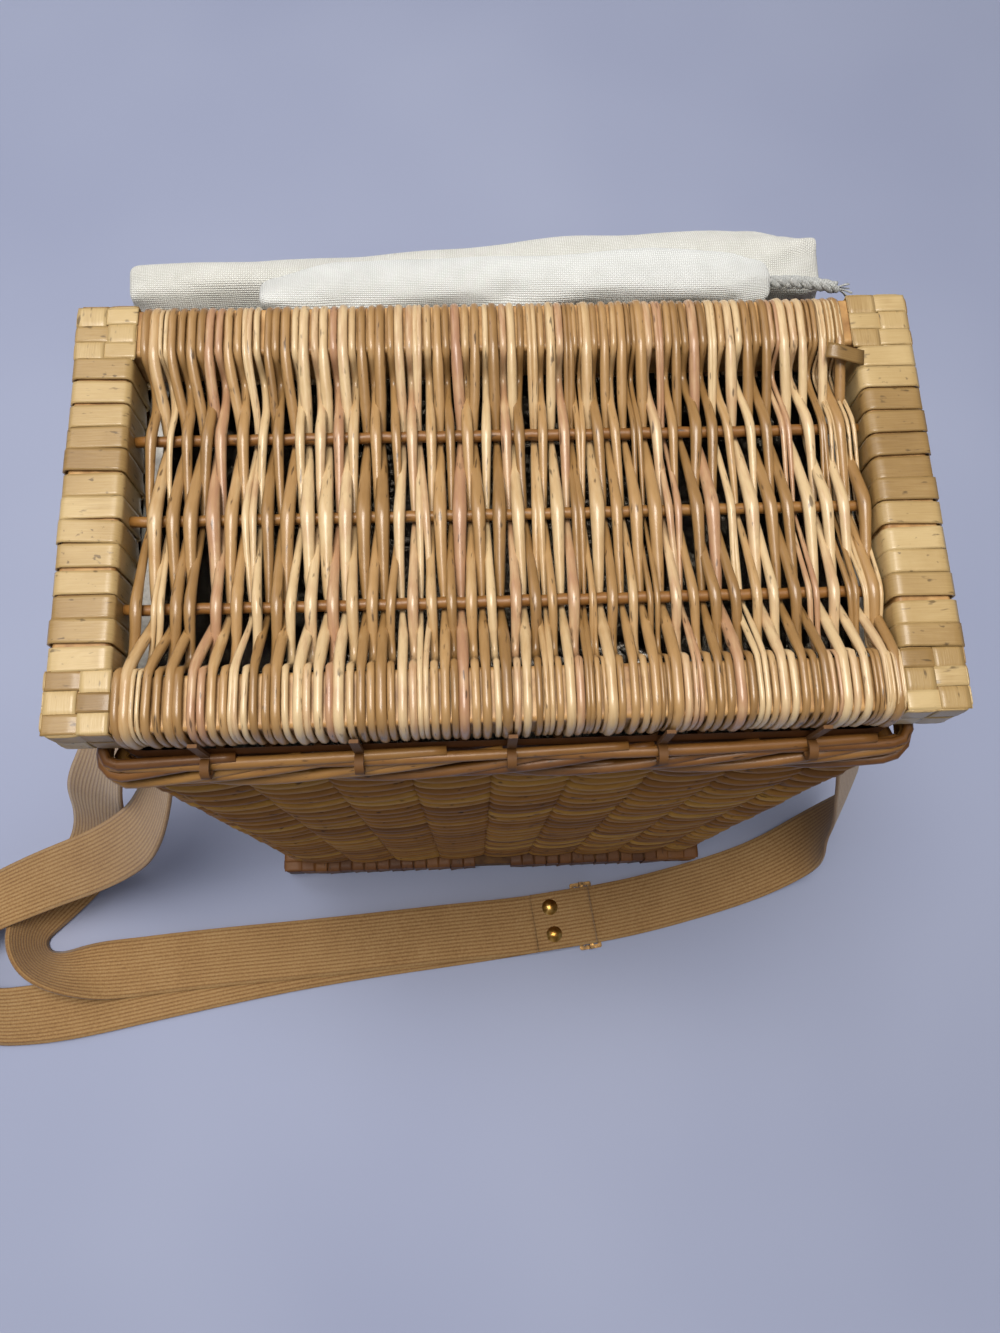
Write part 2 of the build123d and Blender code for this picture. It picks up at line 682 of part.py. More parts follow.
def strap_run(points, sides, name):
    """Webbing along a route: sides gives the way its width points at each corner."""
    points = [Vector(*p) for p in points]
    sides = [Vector(*w) for w in sides]
    with BuildLine(mode=Mode.PRIVATE) as route:
        FilletPolyline(*points, radius=bend_radii(points))
    wire = route.wire()
    legs = [(b - a).length for a, b in zip(points, points[1:])]
    marks = [sum(legs[:i]) / sum(legs) for i in range(len(points))]
    count = max(12, int(wire.length / 10))
    sections = []
    for i in range(count + 1):
        t = i / count
        k = min(len(points) - 2, sum(1 for m in marks[1:-1] if m <= t))
        f = (t - marks[k]) / (marks[k + 1] - marks[k])
        f = f * f * (3 - 2 * f)
        tangent = wire % t
        w = sides[k] * (1 - f) + sides[k + 1] * f
        w = (w - tangent * w.dot(tangent)).normalized()
        with BuildSketch(Plane(origin=wire @ t, x_dir=w, z_dir=tangent), mode=Mode.PRIVATE) as section:
            Rectangle(strap_width, strap_thickness)
        sections.append(section.sketch.faces()[0])
    with BuildPart() as webbing:
        loft(sections, ruled=True)
    area = strap_width * strap_thickness
    print(name, "length", round(wire.length), "volume/section*length", round(webbing.part.volume / area / wire.length, 3))
    print("  radii", [round(r) for r in bend_radii(points)])
    return save(webbing.part, name)


flat = tuple(v)
flat_back = tuple(-v)
join_gap = touch / 2
right_join = bar + u * join_gap
right_lead = bar + u * 16
left_join = bar - u * join_gap
left_lead = bar - u * 16
strap_run(
    [
        (strap_x, 0, leg_bottom), (strap_x, 0, 305), (176, -28, 225), (206, -55, 140), (224, -66, 70),
        (213, -82, 14), (176, -98, 1.2), (118, -112.5, 1.2), (right_lead.X, right_lead.Y, under_level),
        (right_join.X, right_join.Y, under_level),
    ],
    [
        (0, 1, 0), (0, 1, 0), (0.2, 1, 0.1), (0.45, 0.9, 0.2), (0.5, 0.85, 0), (-0.2, 1, 0), flat, flat, flat, flat,
    ],
    "strap_right",
)
strap_run(
    [
        (left_join.X, left_join.Y, under_level), (left_lead.X, left_lead.Y, under_level), (-10, -131, 1.2),
        (-120, -142, 1.2), (-215, -158, 1.2), (-289, -172, 2.4), (-345, -174, 12), (-374, -140, 17),
        (-342, -107, 31), (-292, -89, 44), (-234, -78, 84), (-190, -66, 145), (-148, -14, 262),
        (-under_x, 0, leg_bottom - 20), (-under_x, 0, leg_bottom),
    ],
    [
        flat, flat, flat, flat, (0.1, 1, 0), (0, 1, 0), (0.3, 0.9, 0.4), (0.8, 0, 0.6), (0.6, -0.7, 0.3),
        (0.4, -0.9, 0), (0.35, -0.93, 0), (0.3, -0.95, 0), (0.1, -1, 0), (0, -1, 0), (0, -1, 0),
    ],
    "strap_under",
)
top_join = bar - u * (slider_leg + touch)
top_lead = top_join - u * 12
strap_run(
    [
        (top_join.X, top_join.Y, top_level), (top_lead.X, top_lead.Y, top_level), (-30, -130, 4.2),
        (-110, -136, 3.6), (-200, -141, 3.6), (-255, -146, 4.2), (-296, -147, 19), (-312, -125, 20.5),
        (-298, -100, 14), (-276, -76, 7.5), (-259, -56, 38), (-246, -43, 88), (-218, -38, 155), (-168, -8, 275),
        (-strap_x, 0, leg_bottom - 20), (-strap_x, 0, leg_bottom),
    ],
    [
        flat_back, flat_back, flat_back, (-0.05, -1, 0), (-0.1, -1, 0), (0, -1, 0), (-0.1, -0.5, 0.85),
        (-0.3, 0, 0.95), (-0.5, 0.5, 0.5), (-0.68, 0.68, 0.1), (-0.85, 0.5, 0), (-0.9, 0.4, 0), (-0.6, 0.8, 0),
        (-0.1, 1, 0), (0, 1, 0), (0, 1, 0),
    ],
    "strap_over",
)

# Slider: a flat metal frame under the webbing, with its middle bar raised over it on two short posts
slider_plane = Plane(origin=(bar.X, bar.Y, 0), x_dir=u, z_dir=(0, 0, 1))
slot_half = strap_width / 2 + slider_side_clearance
frame_half = slot_half + slider_rim
with BuildPart() as slider_body:
    with BuildSketch():
        RectangleRounded(slider_length, 2 * frame_half, slider_rim / 2)
        Rectangle(slider_length - 2 * slider_rim, 2 * slot_half, mode=Mode.SUBTRACT)
    extrude(amount=slider_thickness)
    for end in (-1, 1):
        ys = sorted((end * slot_half, end * frame_half))
        slab(
            -slider_bar_width / 2, slider_bar_width / 2, *ys, slider_thickness / 2,
            bar_level + slider_bar_thickness / 2,
        )
    slab(
        -slider_bar_width / 2, slider_bar_width / 2, -frame_half, frame_half,
        bar_level - slider_bar_thickness / 2, bar_level + slider_bar_thickness / 2,
    )
save(slider_plane.location * slider_body.part, "strap_slider")

# The webbing's end, folded round the slider's bar and riveted to itself
turn_inner = slider_bar_thickness / 2 + touch
turn_middle = slider_bar_width / 2 - 0.2
with BuildPart() as slider_fold:
    with BuildSketch(Plane.XZ.offset(-strap_width / 2)):
        with Locations((turn_middle, bar_level)):
            Circle(turn_inner + strap_thickness)
            Circle(turn_inner, mode=Mode.SUBTRACT)
        with Locations((turn_middle - 10, bar_level)):
            Rectangle(20, 20, mode=Mode.SUBTRACT)
        with Locations((turn_middle - (slider_leg + turn_middle) / 2, top_level)):
            Rectangle(slider_leg + turn_middle, strap_thickness)
        with Locations((turn_middle - (slider_leg + turn_middle) / 2, leg_level)):
            Rectangle(slider_leg + turn_middle, strap_thickness)
    extrude(amount=strap_width)
    with Locations((-rivet_from_bar, -rivet_spacing / 2, bar_level), (-rivet_from_bar, rivet_spacing / 2, bar_level)):
        Cylinder(rivet_shank_diameter / 2 + touch / 2, 30, mode=Mode.SUBTRACT)
save(slider_plane.location * slider_fold.part, "strap_fold_slider")

rivet_seat = top_level + strap_thickness / 2 + touch
tail_top = leg_level - strap_thickness / 2 - touch
head_radius = rivet_head_diameter / 2
dome_radius = (head_radius**2 + rivet_head_height**2) / (2 * rivet_head_height)
with BuildPart() as rivets:
    for y in (-rivet_spacing / 2, rivet_spacing / 2):
        with Locations((-rivet_from_bar, y, rivet_seat + rivet_head_height - dome_radius)):
            Sphere(dome_radius)
    slab(-60, 60, -60, 60, -60, rivet_seat, mode=Mode.SUBTRACT)
    for y in (-rivet_spacing / 2, rivet_spacing / 2):
        with Locations((-rivet_from_bar, y, (rivet_seat + tail_top) / 2)):
            Cylinder(rivet_shank_diameter / 2, rivet_seat - tail_top + 2 * touch)
        with Locations((-rivet_from_bar, y, tail_top - rivet_tail_thickness / 2)):
            Cylinder(rivet_tail_diameter / 2, rivet_tail_thickness)
save(slider_plane.location * rivets.part, "strap_rivets")
print("levels: under", under_level, "leg", leg_level, "bar", bar_level, "top", top_level)
print("hinge", hinge_y, hinge_z)
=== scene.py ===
# %% [markdown]
# # Tall wicker picnic basket
# A picnic basket is nearly all willow: whole rods in the lid, the walls and the border, and flat
# split strips, called skeins, wound round the frames. Such a thing isn't sculpted. Each rod or strip
# is a line worked out with numpy and given a section, and many of them share one mesh.
# The solids come from the part's CAD frame, and each dressed piece says which of them it stands for.
# Lengths are in millimetres until `mm` turns them into the metres that Blender works in.

# %% Load the frame
import math

import bpy
import numpy as np
from mathutils import Matrix


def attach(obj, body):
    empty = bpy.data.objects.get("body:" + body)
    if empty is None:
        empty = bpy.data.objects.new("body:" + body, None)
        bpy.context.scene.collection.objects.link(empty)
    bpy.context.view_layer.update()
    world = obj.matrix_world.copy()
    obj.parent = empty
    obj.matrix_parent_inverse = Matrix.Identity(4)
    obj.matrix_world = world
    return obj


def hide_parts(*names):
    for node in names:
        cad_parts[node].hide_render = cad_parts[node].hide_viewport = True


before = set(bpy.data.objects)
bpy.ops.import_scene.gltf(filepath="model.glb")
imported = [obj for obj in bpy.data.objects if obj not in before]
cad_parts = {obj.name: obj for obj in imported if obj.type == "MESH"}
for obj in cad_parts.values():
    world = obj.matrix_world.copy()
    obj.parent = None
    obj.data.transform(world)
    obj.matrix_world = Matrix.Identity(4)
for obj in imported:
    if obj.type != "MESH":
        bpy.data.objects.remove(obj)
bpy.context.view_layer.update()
mm = 0.001


# %% [markdown]
# ## Meshes from arrays
# Round rods and flat strips make nearly the whole basket, so two functions draw nearly all of it.
# Curve objects with a bevel could do the same, but arrays set the thickness, the tone and the texture
# coordinates at every point, and they let hundreds of rods be joined in one mesh.

# %% Lines and grids
def run_along(points):
    """Distance along a line at each of its points: the running sum of the lengths of its steps."""
    steps = np.linalg.norm(np.diff(points, axis=0), axis=1)
    return np.concatenate([[0], np.cumsum(steps)])


def unit(vectors):
    """Each vector divided by its own length."""
    return vectors / np.linalg.norm(vectors, axis=1)[:, None]


def soften(points, rounds=3, share=0.25):
    """Corner cutting: every corner is replaced by two points a share of the way along its two runs."""
    p = np.asarray(points, float)
    for _ in range(rounds):
        a = p[:-1] * (1 - share) + p[1:] * share
        b = p[:-1] * share + p[1:] * (1 - share)
        between = np.stack([a, b], 1).reshape(-1, p.shape[1])
        p = np.vstack([p[:1], between[1:-1], p[-1:]])
    return p


def spaced(points, count):
    """The same line with count points at equal steps along it, each coordinate read off by distance."""
    p = np.asarray(points, float)
    run = run_along(p)
    t = np.linspace(0, run[-1], count)
    return np.stack([np.interp(t, run, p[:, k]) for k in range(p.shape[1])], 1)


def ease(t):
    """A soft step from 0 to 1: three t squared less two t cubed."""
    return t * t * (3 - 2 * t)


def grid_quads(rows, columns, wrap=True, loop=False):
    """Quads of a grid of points. wrap joins the last column to the first, loop the last row to the first."""
    i = np.arange(rows if loop else rows - 1)[:, None]
    j = np.arange(columns if wrap else columns - 1)[None]
    here, above = i * columns, (i + 1) % rows * columns
    beside = (j + 1) % columns
    return np.stack([here + j, here + beside, above + beside, above + j], -1).reshape(-1, 4)


def closed_faces(rings, sides):
    """The quads of a row of rings, with one polygon over each end."""
    last = (rings - 1) * sides
    return grid_quads(rings, sides).tolist() + [list(range(sides))[::-1], list(range(last, last + sides))]


# %% Rods and strips
def frames(points, hint):
    """Two normals along a line, at right angles. The first starts near hint and is carried along."""
    tangent = unit(np.gradient(points, axis=0))
    normal = np.empty_like(points)
    n = np.asarray(hint, float)
    for i, t in enumerate(tangent):
        n = n - t * n.dot(t)
        n = n / np.linalg.norm(n)
        normal[i] = n
    return normal, np.cross(tangent, normal)


def tube(points, radius, sides=8, flat=1.0, hint=(1, 0, 0)):
    """A closed rod: point + radius * (normal * cos a + flat * second normal * sin a), a going round once."""
    p = np.asarray(points, float)
    r = np.broadcast_to(np.asarray(radius, float), (len(p),))
    n, b = frames(p, hint)
    a = np.linspace(0, 2 * np.pi, sides, endpoint=False)
    ring = n[:, None] * np.cos(a)[None, :, None] + b[:, None] * (flat * np.sin(a))[None, :, None]
    verts = (p[:, None] + ring * r[:, None, None]).reshape(-1, 3)
    uv = np.stack([np.repeat(run_along(p), sides) * mm, np.tile(np.arange(sides) / sides, len(p))], 1)
    return verts, closed_faces(len(p), sides), uv


def band(points, across, half_width, thickness, crown=0.25, cuts=6):
    """A flat strip: point + s * half width * across, its top lowered by crown * thickness * s squared."""
    p = np.asarray(points, float)
    across = np.broadcast_to(np.asarray(across, float), p.shape)
    tangent = unit(np.gradient(p, axis=0))
    w = unit(across - tangent * (across * tangent).sum(1)[:, None])
    up = np.cross(tangent, w)
    half = np.broadcast_to(np.asarray(half_width, float), (len(p),))
    s = np.linspace(-1, 1, cuts + 1)
    top = thickness / 2 - crown * thickness * s**2
    edge = np.array(list(zip(s, top)) + [(x, -thickness / 2) for x in s[::-1]])
    verts = p[:, None] + w[:, None] * (edge[:, 0][None, :, None] * half[:, None, None])
    verts = (verts + up[:, None] * edge[:, 1][None, :, None]).reshape(-1, 3)
    sideways = (edge[None, :, 0] * half[:, None]).ravel()
    uv = np.stack([np.repeat(run_along(p), len(edge)) * mm, sideways * mm], 1)
    return verts, closed_faces(len(p), len(edge)), uv


# %% Objects
def build_mesh(name, verts, faces, tint=None, uv=None, smooth=True):
    """A mesh object from points in millimetres, polygons, and a tone and a UV for each point."""
    mesh = bpy.data.meshes.new(name)
    verts = np.asarray(verts, float)
    mesh.from_pydata((verts * mm).tolist(), [], [tuple(map(int, f)) for f in faces])
    if tint is not None:
        layer = mesh.attributes.new("tint", "FLOAT", "POINT")
        layer.data.foreach_set("value", np.asarray(tint, np.float32))
    if uv is not None:
        layer = mesh.uv_layers.new(name="UVMap")
        index = np.empty(len(mesh.loops), np.int32)
        mesh.loops.foreach_get("vertex_index", index)
        layer.data.foreach_set("uv", np.asarray(uv, np.float32)[index].ravel())
    if smooth:
        mesh.polygons.foreach_set("use_smooth", np.ones(len(mesh.polygons), bool))
    mesh.update()
    obj = bpy.data.objects.new(name, mesh)
    bpy.context.scene.collection.objects.link(obj)
    return obj


def gather(name, pieces, tints):
    """One mesh object from (points, faces, UVs) pieces, each with one tone or a tone for each point."""
    verts, faces, uvs, tones = [], [], [], []
    start = 0
    for (v, f, u), t in zip(pieces, tints):
        verts.append(v)
        uvs.append(u)
        faces += [[start + i for i in face] for face in f]
        tones.append(np.broadcast_to(t, len(v)))
        start += len(v)
    return build_mesh(name, np.vstack(verts), faces, np.concatenate(tones), np.vstack(uvs))


def coat(obj, material):
    """Gives an object one material in place of those it has."""
    obj.data.materials.clear()
    obj.data.materials.append(material)


def place(obj, material, body, slot, *nodes):
    """Gives a piece its material, its body and the CAD nodes that it stands for. slot is not used."""
    coat(obj, material)
    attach(obj, body)
    if nodes:
        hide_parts(*nodes)
    print(obj.name, len(obj.data.vertices), "points on the", body)
    return obj


# %% [markdown]
# ## Building a finish
# A finish is a network of shader nodes that ends in Blender's Principled shader. Patterns are worked
# out from the object's own coordinates, or from the UVs where they have to follow a rod or a thread,
# so they stay put in every view. Colours are written as sRGB hex, the way a paint chart gives them,
# and turned into the linear light that the shader works in.
# A noise of scale s has features about 1000 / s mm across.

# %% Colour and nodes
def colour(text):
    """Linear colour from sRGB hex: c / 12.92 where very dark, or (c + 0.055) / 1.055 to the power 2.4."""
    c = np.array([int(text[i : i + 2], 16) for i in (0, 2, 4)]) / 255
    c = np.where(c <= 0.04045, c / 12.92, ((c + 0.055) / 1.055) ** 2.4)
    return (*c.tolist(), 1.0)


class Finish:
    """A material that is built up node by node."""

    def __init__(self, name, roughness, **sockets):
        self.material = bpy.data.materials.new(name)
        self.material.use_nodes = True
        self.tree = self.material.node_tree
        self.shader = self.tree.nodes["Principled BSDF"]
        self.shader.inputs["Roughness"].default_value = roughness
        for socket, value in sockets.items():
            self.shader.inputs[socket.replace("_", " ")].default_value = value

    def add(self, kind, inputs=None, stops=(), **settings):
        """Adds one node with its settings and links, and returns its outputs.

        inputs maps a socket's name or number to a value or to another node's output. stops are the
        (position, hex colour) pairs of a colour ramp.
        """
        node = self.tree.nodes.new("ShaderNode" + kind)
        for key, value in settings.items():
            setattr(node, key, value)
        for key, value in (inputs or {}).items():
            if isinstance(value, bpy.types.NodeSocket):
                self.tree.links.new(value, node.inputs[key])
            else:
                node.inputs[key].default_value = value
        if stops:
            ramp = node.color_ramp.elements
            while len(ramp) < len(stops):
                ramp.new(0.5)
            for element, (position, text) in zip(ramp, stops):
                element.position = position
                element.color = colour(text)
        return node.outputs

    def total(self, *weighted):
        """The sum of several patterns, each given as (pattern, weight)."""
        result = None
        for pattern, weight in weighted:
            part = self.add("Math", {0: pattern, 1: weight}, operation="MULTIPLY")[0]
            result = part if result is None else self.add("Math", {0: result, 1: part}, operation="ADD")[0]
        return result

    def done(self, base, height=None, distance=0.0003, strength=1.0):
        """Joins the colour and the bump to the shader. distance is the bump's full height in metres."""
        self.tree.links.new(base, self.shader.inputs["Base Color"])
        if height is not None:
            bump = self.add("Bump", {"Height": height, "Distance": distance, "Strength": strength})
            self.tree.links.new(bump["Normal"], self.shader.inputs["Normal"])
        return self.material


# %% [markdown]
# ## Willow
# Basket willow is stripped of its bark, so it is smooth, and pale unless it was boiled first. The eye
# reads it from four things: each rod has its own tone, streaks run along it, bud scars leave short dark
# dashes, and varnish gives a thin gloss. The tone is an attribute that every rod carries, and the
# streaks follow the UVs, where U is metres along the rod. Round a rod V goes once from 0 to 1, but
# across a flat skein it is in metres, which is why skeins ask for far larger scales across.

# %% Willow finishes
def willow(name, stops, roughness, gloss, streaks=(40, 3), speck=0.7, dash=7.0):
    """Stripped willow. Its colour comes from 62% of the rod's tone and 20% each of streaks and patches."""
    finish = Finish(name, roughness, Coat_Weight=gloss, Coat_Roughness=0.22)
    tone = finish.add("Attribute", attribute_name="tint")["Fac"]
    uv = finish.add("UVMap", uv_map="UVMap")[0]
    stretched = finish.add("Mapping", {"Vector": uv, "Scale": (*streaks, 1)})[0]
    streak = finish.add("TexNoise", {"Vector": stretched, "Scale": 3.0, "Detail": 5.0})["Fac"]
    spot = finish.add("TexCoord")["Object"]
    patch = finish.add("TexNoise", {"Vector": spot, "Scale": 60.0, "Detail": 3.0})["Fac"]
    fine = finish.add("TexNoise", {"Vector": spot, "Scale": 420.0, "Detail": 2.0})["Fac"]
    mixed = finish.total((tone, 0.62), (streak, 0.2), (patch, 0.2))
    base = finish.add("ValToRGB", {"Fac": mixed}, stops)["Color"]
    # Dashes are noise squeezed to 7 mm along the rod, and the rod's tone moves them to a place of its own
    axes = finish.add("SeparateXYZ", {0: uv})
    along, across = finish.total((axes[0], 150.0)), finish.total((axes[1], dash))
    own_place = finish.add("CombineXYZ", {0: along, 1: across, 2: finish.total((tone, 41.0))})[0]
    dashes = finish.add("TexNoise", {"Vector": own_place, "Scale": 1.0, "Detail": 2.0})["Fac"]
    scars = finish.total((dashes, 1.0), (fine, 0.12))
    dark = finish.add("ValToRGB", {"Fac": scars}, [(0.33, "3a2512"), (0.41, "ffffff")])["Color"]
    base = finish.add("Mix", {0: speck, 6: base, 7: dark}, data_type="RGBA", blend_type="MULTIPLY")[2]
    return finish.done(base, finish.total((streak, 0.7), (fine, 0.5)), distance=0.00025, strength=0.6)


skein_pattern = {"streaks": (30, 700), "speck": 0.6, "dash": 500.0}
# Lid rods: pale straw to a pinkish brown, with the clearest varnish
rod_stops = [(0.12, "765832"), (0.28, "957244"), (0.46, "b08c5c")]
rod_stops += [(0.64, "d2b98e"), (0.76, "b18a66"), (0.86, "a0745a")]
willow_rods = willow("willow_rods", rod_stops, roughness=0.36, gloss=0.45)
# Skeins: split wood, more even in tone and a little duller
skein_stops = [(0.12, "6e5228"), (0.32, "927546"), (0.5, "ac9160"), (0.68, "c0a878"), (0.85, "967848")]
willow_skein = willow("willow_skein", skein_stops, roughness=0.42, gloss=0.3, **skein_pattern)
# Wall weavers: buff willow, boiled before its bark comes off, so brown, and left without varnish. Its colour
# is darker still as painted shade, for the wall lies in the shadow of the lid
wall_shade_stops = [(0.12, "5a3606"), (0.32, "774a0e"), (0.5, "94621c"), (0.68, "b28432"), (0.85, "865a16")]
willow_wall = willow("willow_wall", wall_shade_stops, roughness=0.7, gloss=0.0)
# Border rods: the same, with a trace of varnish, and darker still as painted shade for their place under the
# lid's overhang. The cross rods and the cut weaver tips share it
border_shade_stops = [(0.12, "55300c"), (0.32, "6f4618"), (0.5, "865a26"), (0.68, "9e743a"), (0.85, "7c5220")]
willow_border = willow("willow_border", border_shade_stops, roughness=0.5, gloss=0.15)
# Hinge loops: skein painted as dark as the shaded border, as painted shade, so that they hardly stand out
# from it
loop_skein = willow("loop_skein", [(0.0, "5c3a14"), (0.4, "6e481a")], roughness=0.7, gloss=0.0)
# Base frame: the darkest skeins. Their darkness is painted shade for the ledge low under the basket, and the
# weave's core shares it
base_shade_stops = [(0.12, "42240a"), (0.35, "5e3610"), (0.6, "784a1c"), (0.85, "8c5c28")]
willow_base = willow("willow_base", base_shade_stops, roughness=0.6, gloss=0.05, **skein_pattern)

# %% [markdown]
# ## Wood, metal, foil and foam
# The battens are sawn softwood, which hardly shows between the willow, so a noise whose features are
# as wide as coarse grain is enough. The metals get the full metallic value and the default IOR, and a
# noise that wears their colour from dark in the hollows to bright on the rubbed places.

# %% Plain finishes
def mottled(name, roughness, scale, detail, stops, distance=None, strength=1.0, **sockets):
    """One noise that gives both the colour, through a ramp, and the bump where a distance is given."""
    finish = Finish(name, roughness, **sockets)
    spot = finish.add("TexCoord")["Object"]
    mist = finish.add("TexNoise", {"Vector": spot, "Scale": scale, "Detail": detail})["Fac"]
    base = finish.add("ValToRGB", {"Fac": mist}, stops)["Color"]
    return finish.done(base, mist if distance else None, distance or 0, strength)


# Sawn softwood, with growth lines about 6 mm apart and a thin varnish
batten_stops = [(0.3, "8a6236"), (0.55, "b58c55"), (0.75, "caa672")]
sawn_wood = mottled(
    "sawn_wood", roughness=0.55, scale=160.0, detail=6.0, stops=batten_stops, distance=0.0002,
    Coat_Weight=0.2, Coat_Roughness=0.3,
)
dark_stops = [(0.3, "4a2c0e"), (0.55, "64421a"), (0.75, "7c5626")]
dark_wood = mottled("dark_wood", roughness=0.7, scale=160.0, detail=6.0, stops=dark_stops, distance=0.0002)
# Steel nails, grey with dull spots of 1 mm
nail_stops = [(0.3, "6c6660"), (0.7, "a8a49c")]
nail_steel = mottled("nail_steel", roughness=0.4, scale=900.0, detail=2.0, stops=nail_stops, Metallic=1.0)
# Aged brass, rubbed bright on its high places
brass_stops = [(0.3, "7d5a2a"), (0.52, "b98a45"), (0.72, "e0bd77")]
aged_brass = mottled(
    "aged_brass", roughness=0.32, scale=260.0, detail=4.0, stops=brass_stops, distance=0.0001,
    strength=0.4, Metallic=1.0,
)
# Lacquered steel wire, with brass colour where the lacquer has gone
wire_stops = [(0.35, "2e2720"), (0.6, "6a5233"), (0.8, "b59055")]
dark_wire = mottled(
    "dark_wire", roughness=0.34, scale=320.0, detail=4.0, stops=wire_stops, distance=0.0001,
    strength=0.4, Metallic=1.0,
)
# Closed-cell foam, whose cells of 1.4 mm only just show
foam_stops = [(0.3, "d6d6d2"), (0.7, "f2f2ee")]
foam = mottled("foam", roughness=0.9, scale=700.0, detail=2.0, stops=foam_stops, distance=0.0003)

# Metallised film, crumpled in facets about 8 mm across. Its silver is darkened and warmed as painted shade,
# as it is seen only through the gaps under the lid, and each facet darkens towards its edges as painted
# shade in the creases
finish = Finish("foil", 0.22, Metallic=1.0)
facets = finish.add("TexVoronoi", {"Vector": finish.add("TexCoord")["Object"], "Scale": 120.0}, feature="F1")
facet = facets["Distance"]
foil_shade_base = finish.add("ValToRGB", {"Fac": facet}, [(0.0, "b8b4ac"), (1.0, "74706a")])["Color"]
foil = finish.done(foil_shade_base, facet, distance=0.0016, strength=0.9)


# %% [markdown]
# ## Canvas and webbing
# The canvas is cotton in plain weave: warp and weft cross at right angles, and each thread makes a
# ridge where it lies on top. Real threads are about 0.5 mm apart, too fine for this render, so they
# are drawn 0.8 mm apart. The webbing is cotton too, with ribs along it that are drawn 2.4 mm apart for
# the same reason. An image texture would repeat. Sines of the UVs, which are in metres, don't, and
# they keep the thread count true on every piece.

# %% Cloth finishes
def woven_canvas(name, thread, light, dark, depth):
    """Plain weave: ridge = |sin u * sin v| + (1 + sin u * sin v) / 4, with half a wave to each thread."""
    finish = Finish(name, 0.92, Sheen_Weight=0.25, Sheen_Roughness=0.5)
    uv = finish.add("UVMap", uv_map="UVMap")[0]
    spot = finish.add("TexCoord")["Object"]
    drift = finish.add("TexNoise", {"Vector": spot, "Scale": 300.0, "Detail": 2.0})["Color"]
    aside = finish.add("VectorMath", {0: drift, 1: (thread * 0.5, thread * 0.5, 0)}, operation="MULTIPLY")[0]
    moved = finish.add("VectorMath", {0: uv, 1: aside}, operation="ADD")[0]
    axes = finish.add("SeparateXYZ", {0: moved})
    turns = [finish.total((axes[k], math.pi / thread)) for k in (0, 1)]
    warp, weft = (finish.add("Math", {0: turn}, operation="SINE")[0] for turn in turns)
    crossing = finish.add("Math", {0: warp, 1: weft}, operation="MULTIPLY")[0]
    weave = finish.add("Math", {0: crossing, 1: 0.5, 2: 0.5}, operation="MULTIPLY_ADD")[0]
    height = finish.add("Math", {0: crossing}, operation="ABSOLUTE")[0]
    ridge = finish.total((height, 1.0), (weave, 0.5))
    slub = finish.add("TexNoise", {"Vector": spot, "Scale": 120.0, "Detail": 3.0})["Fac"]
    # The colour is partly the threads' own slubs, and partly painted shade in the hollows between threads
    # with painted light on their tops
    share = finish.total((ridge, 0.75), (slub, 0.45))
    base = finish.add("Mix", {0: share, 6: colour(dark), 7: colour(light)}, data_type="RGBA")[2]
    return finish.done(base, finish.total((ridge, 1.0), (slub, 0.4)), depth, 0.9)


canvas_coarse = woven_canvas("canvas_coarse", thread=0.00082, light="edefea", dark="aaaa9c", depth=0.00040)
canvas_fine = woven_canvas("canvas_fine", thread=0.00076, light="f0f4f3", dark="b4b8b2", depth=0.00036)

rib_spacing, stitch_spacing = 0.0024, 0.0011
finish = Finish("webbing", 0.85, Sheen_Weight=0.2)
axes = finish.add("SeparateXYZ", {0: finish.add("UVMap", uv_map="UVMap")[0]})
waves = []
for axis, spacing in ((axes[1], rib_spacing), (axes[0], stitch_spacing)):
    wave = finish.add("Math", {0: finish.total((axis, math.pi / spacing))}, operation="SINE")[0]
    waves.append(finish.add("Math", {0: wave}, operation="ABSOLUTE")[0])
rib, stitch = waves
spot = finish.add("TexCoord")["Object"]
mottle = finish.add("TexNoise", {"Vector": spot, "Scale": 45.0, "Detail": 4.0})["Fac"]
fuzz = finish.add("TexNoise", {"Vector": spot, "Scale": 900.0, "Detail": 2.0})["Fac"]
# The tone is partly the cotton's own mottle and fuzz, and partly painted shade in the grooves between the
# ribs with painted light on their tops
tone = finish.total((rib, 0.3), (mottle, 0.2), (fuzz, 0.46))
webbing_stops = [(0.2, "6e4e2c"), (0.42, "916c40"), (0.6, "a78454"), (0.8, "b6976a")]
webbing_base = finish.add("ValToRGB", {"Fac": tone}, webbing_stops)["Color"]
webbing = finish.done(webbing_base, finish.total((rib, 0.9), (stitch, 0.35)), distance=0.0003, strength=0.7)
print("finishes", len(bpy.data.materials))

# %% [markdown]
# ## Sizes shared with the solids
# The dressed pieces have to lie where the solids are, so these are the part's own measures: two
# frames of square battens, one in the lid and one under the floor, and the wall between them.

# %% Sizes
rng = np.random.default_rng(11)
batten = 18.0
batten_low, batten_high = 389.9, 407.9
lid_outer_x, lid_inner_x, lid_outer_y = 143.9, 125.9, 74.9
base_outer_x, base_inner_x, base_outer_y, base_inner_y = 139.9, 121.9, 85.9, 67.9
base_low, base_high = 1.1, 19.1
wall_x, wall_y, wall_corner, wall_low, wall_high = 134.0, 80.0, 14.0, 20.3, 386.5
cross_y, cross_z = (28.0, -1.5, -32.5), 399.8
rod_pitch = 3.25
print("lid", 2 * lid_outer_x, "by", 2 * lid_outer_y, "wall", 2 * wall_x, "by", 2 * wall_y)


# %% [markdown]
# ## Lid rods
# The maker wraps each willow rod round the back batten, weaves it over and under three cross rods and
# wraps it round the front one. A rod bent hard under a cross rod gets thinner there and looks fatter
# where it lies on top. So each rod is a corner-cut line in the YZ plane that sways a little in X, and
# a tube whose radius follows the weave. Every other rod starts over instead of under, and some places
# have two thin rods instead of one, as in hand work.

# %% One rod of the lid
weave_step = 3.55
tuck_z, wrap_y, wrap_top = 388.25, 76.42, 411.1
window_x, window_y = 123.6, 57.0
pinch, pinch_reach = 0.46, 6.5
swell, swell_reach = 0.27, 9.0


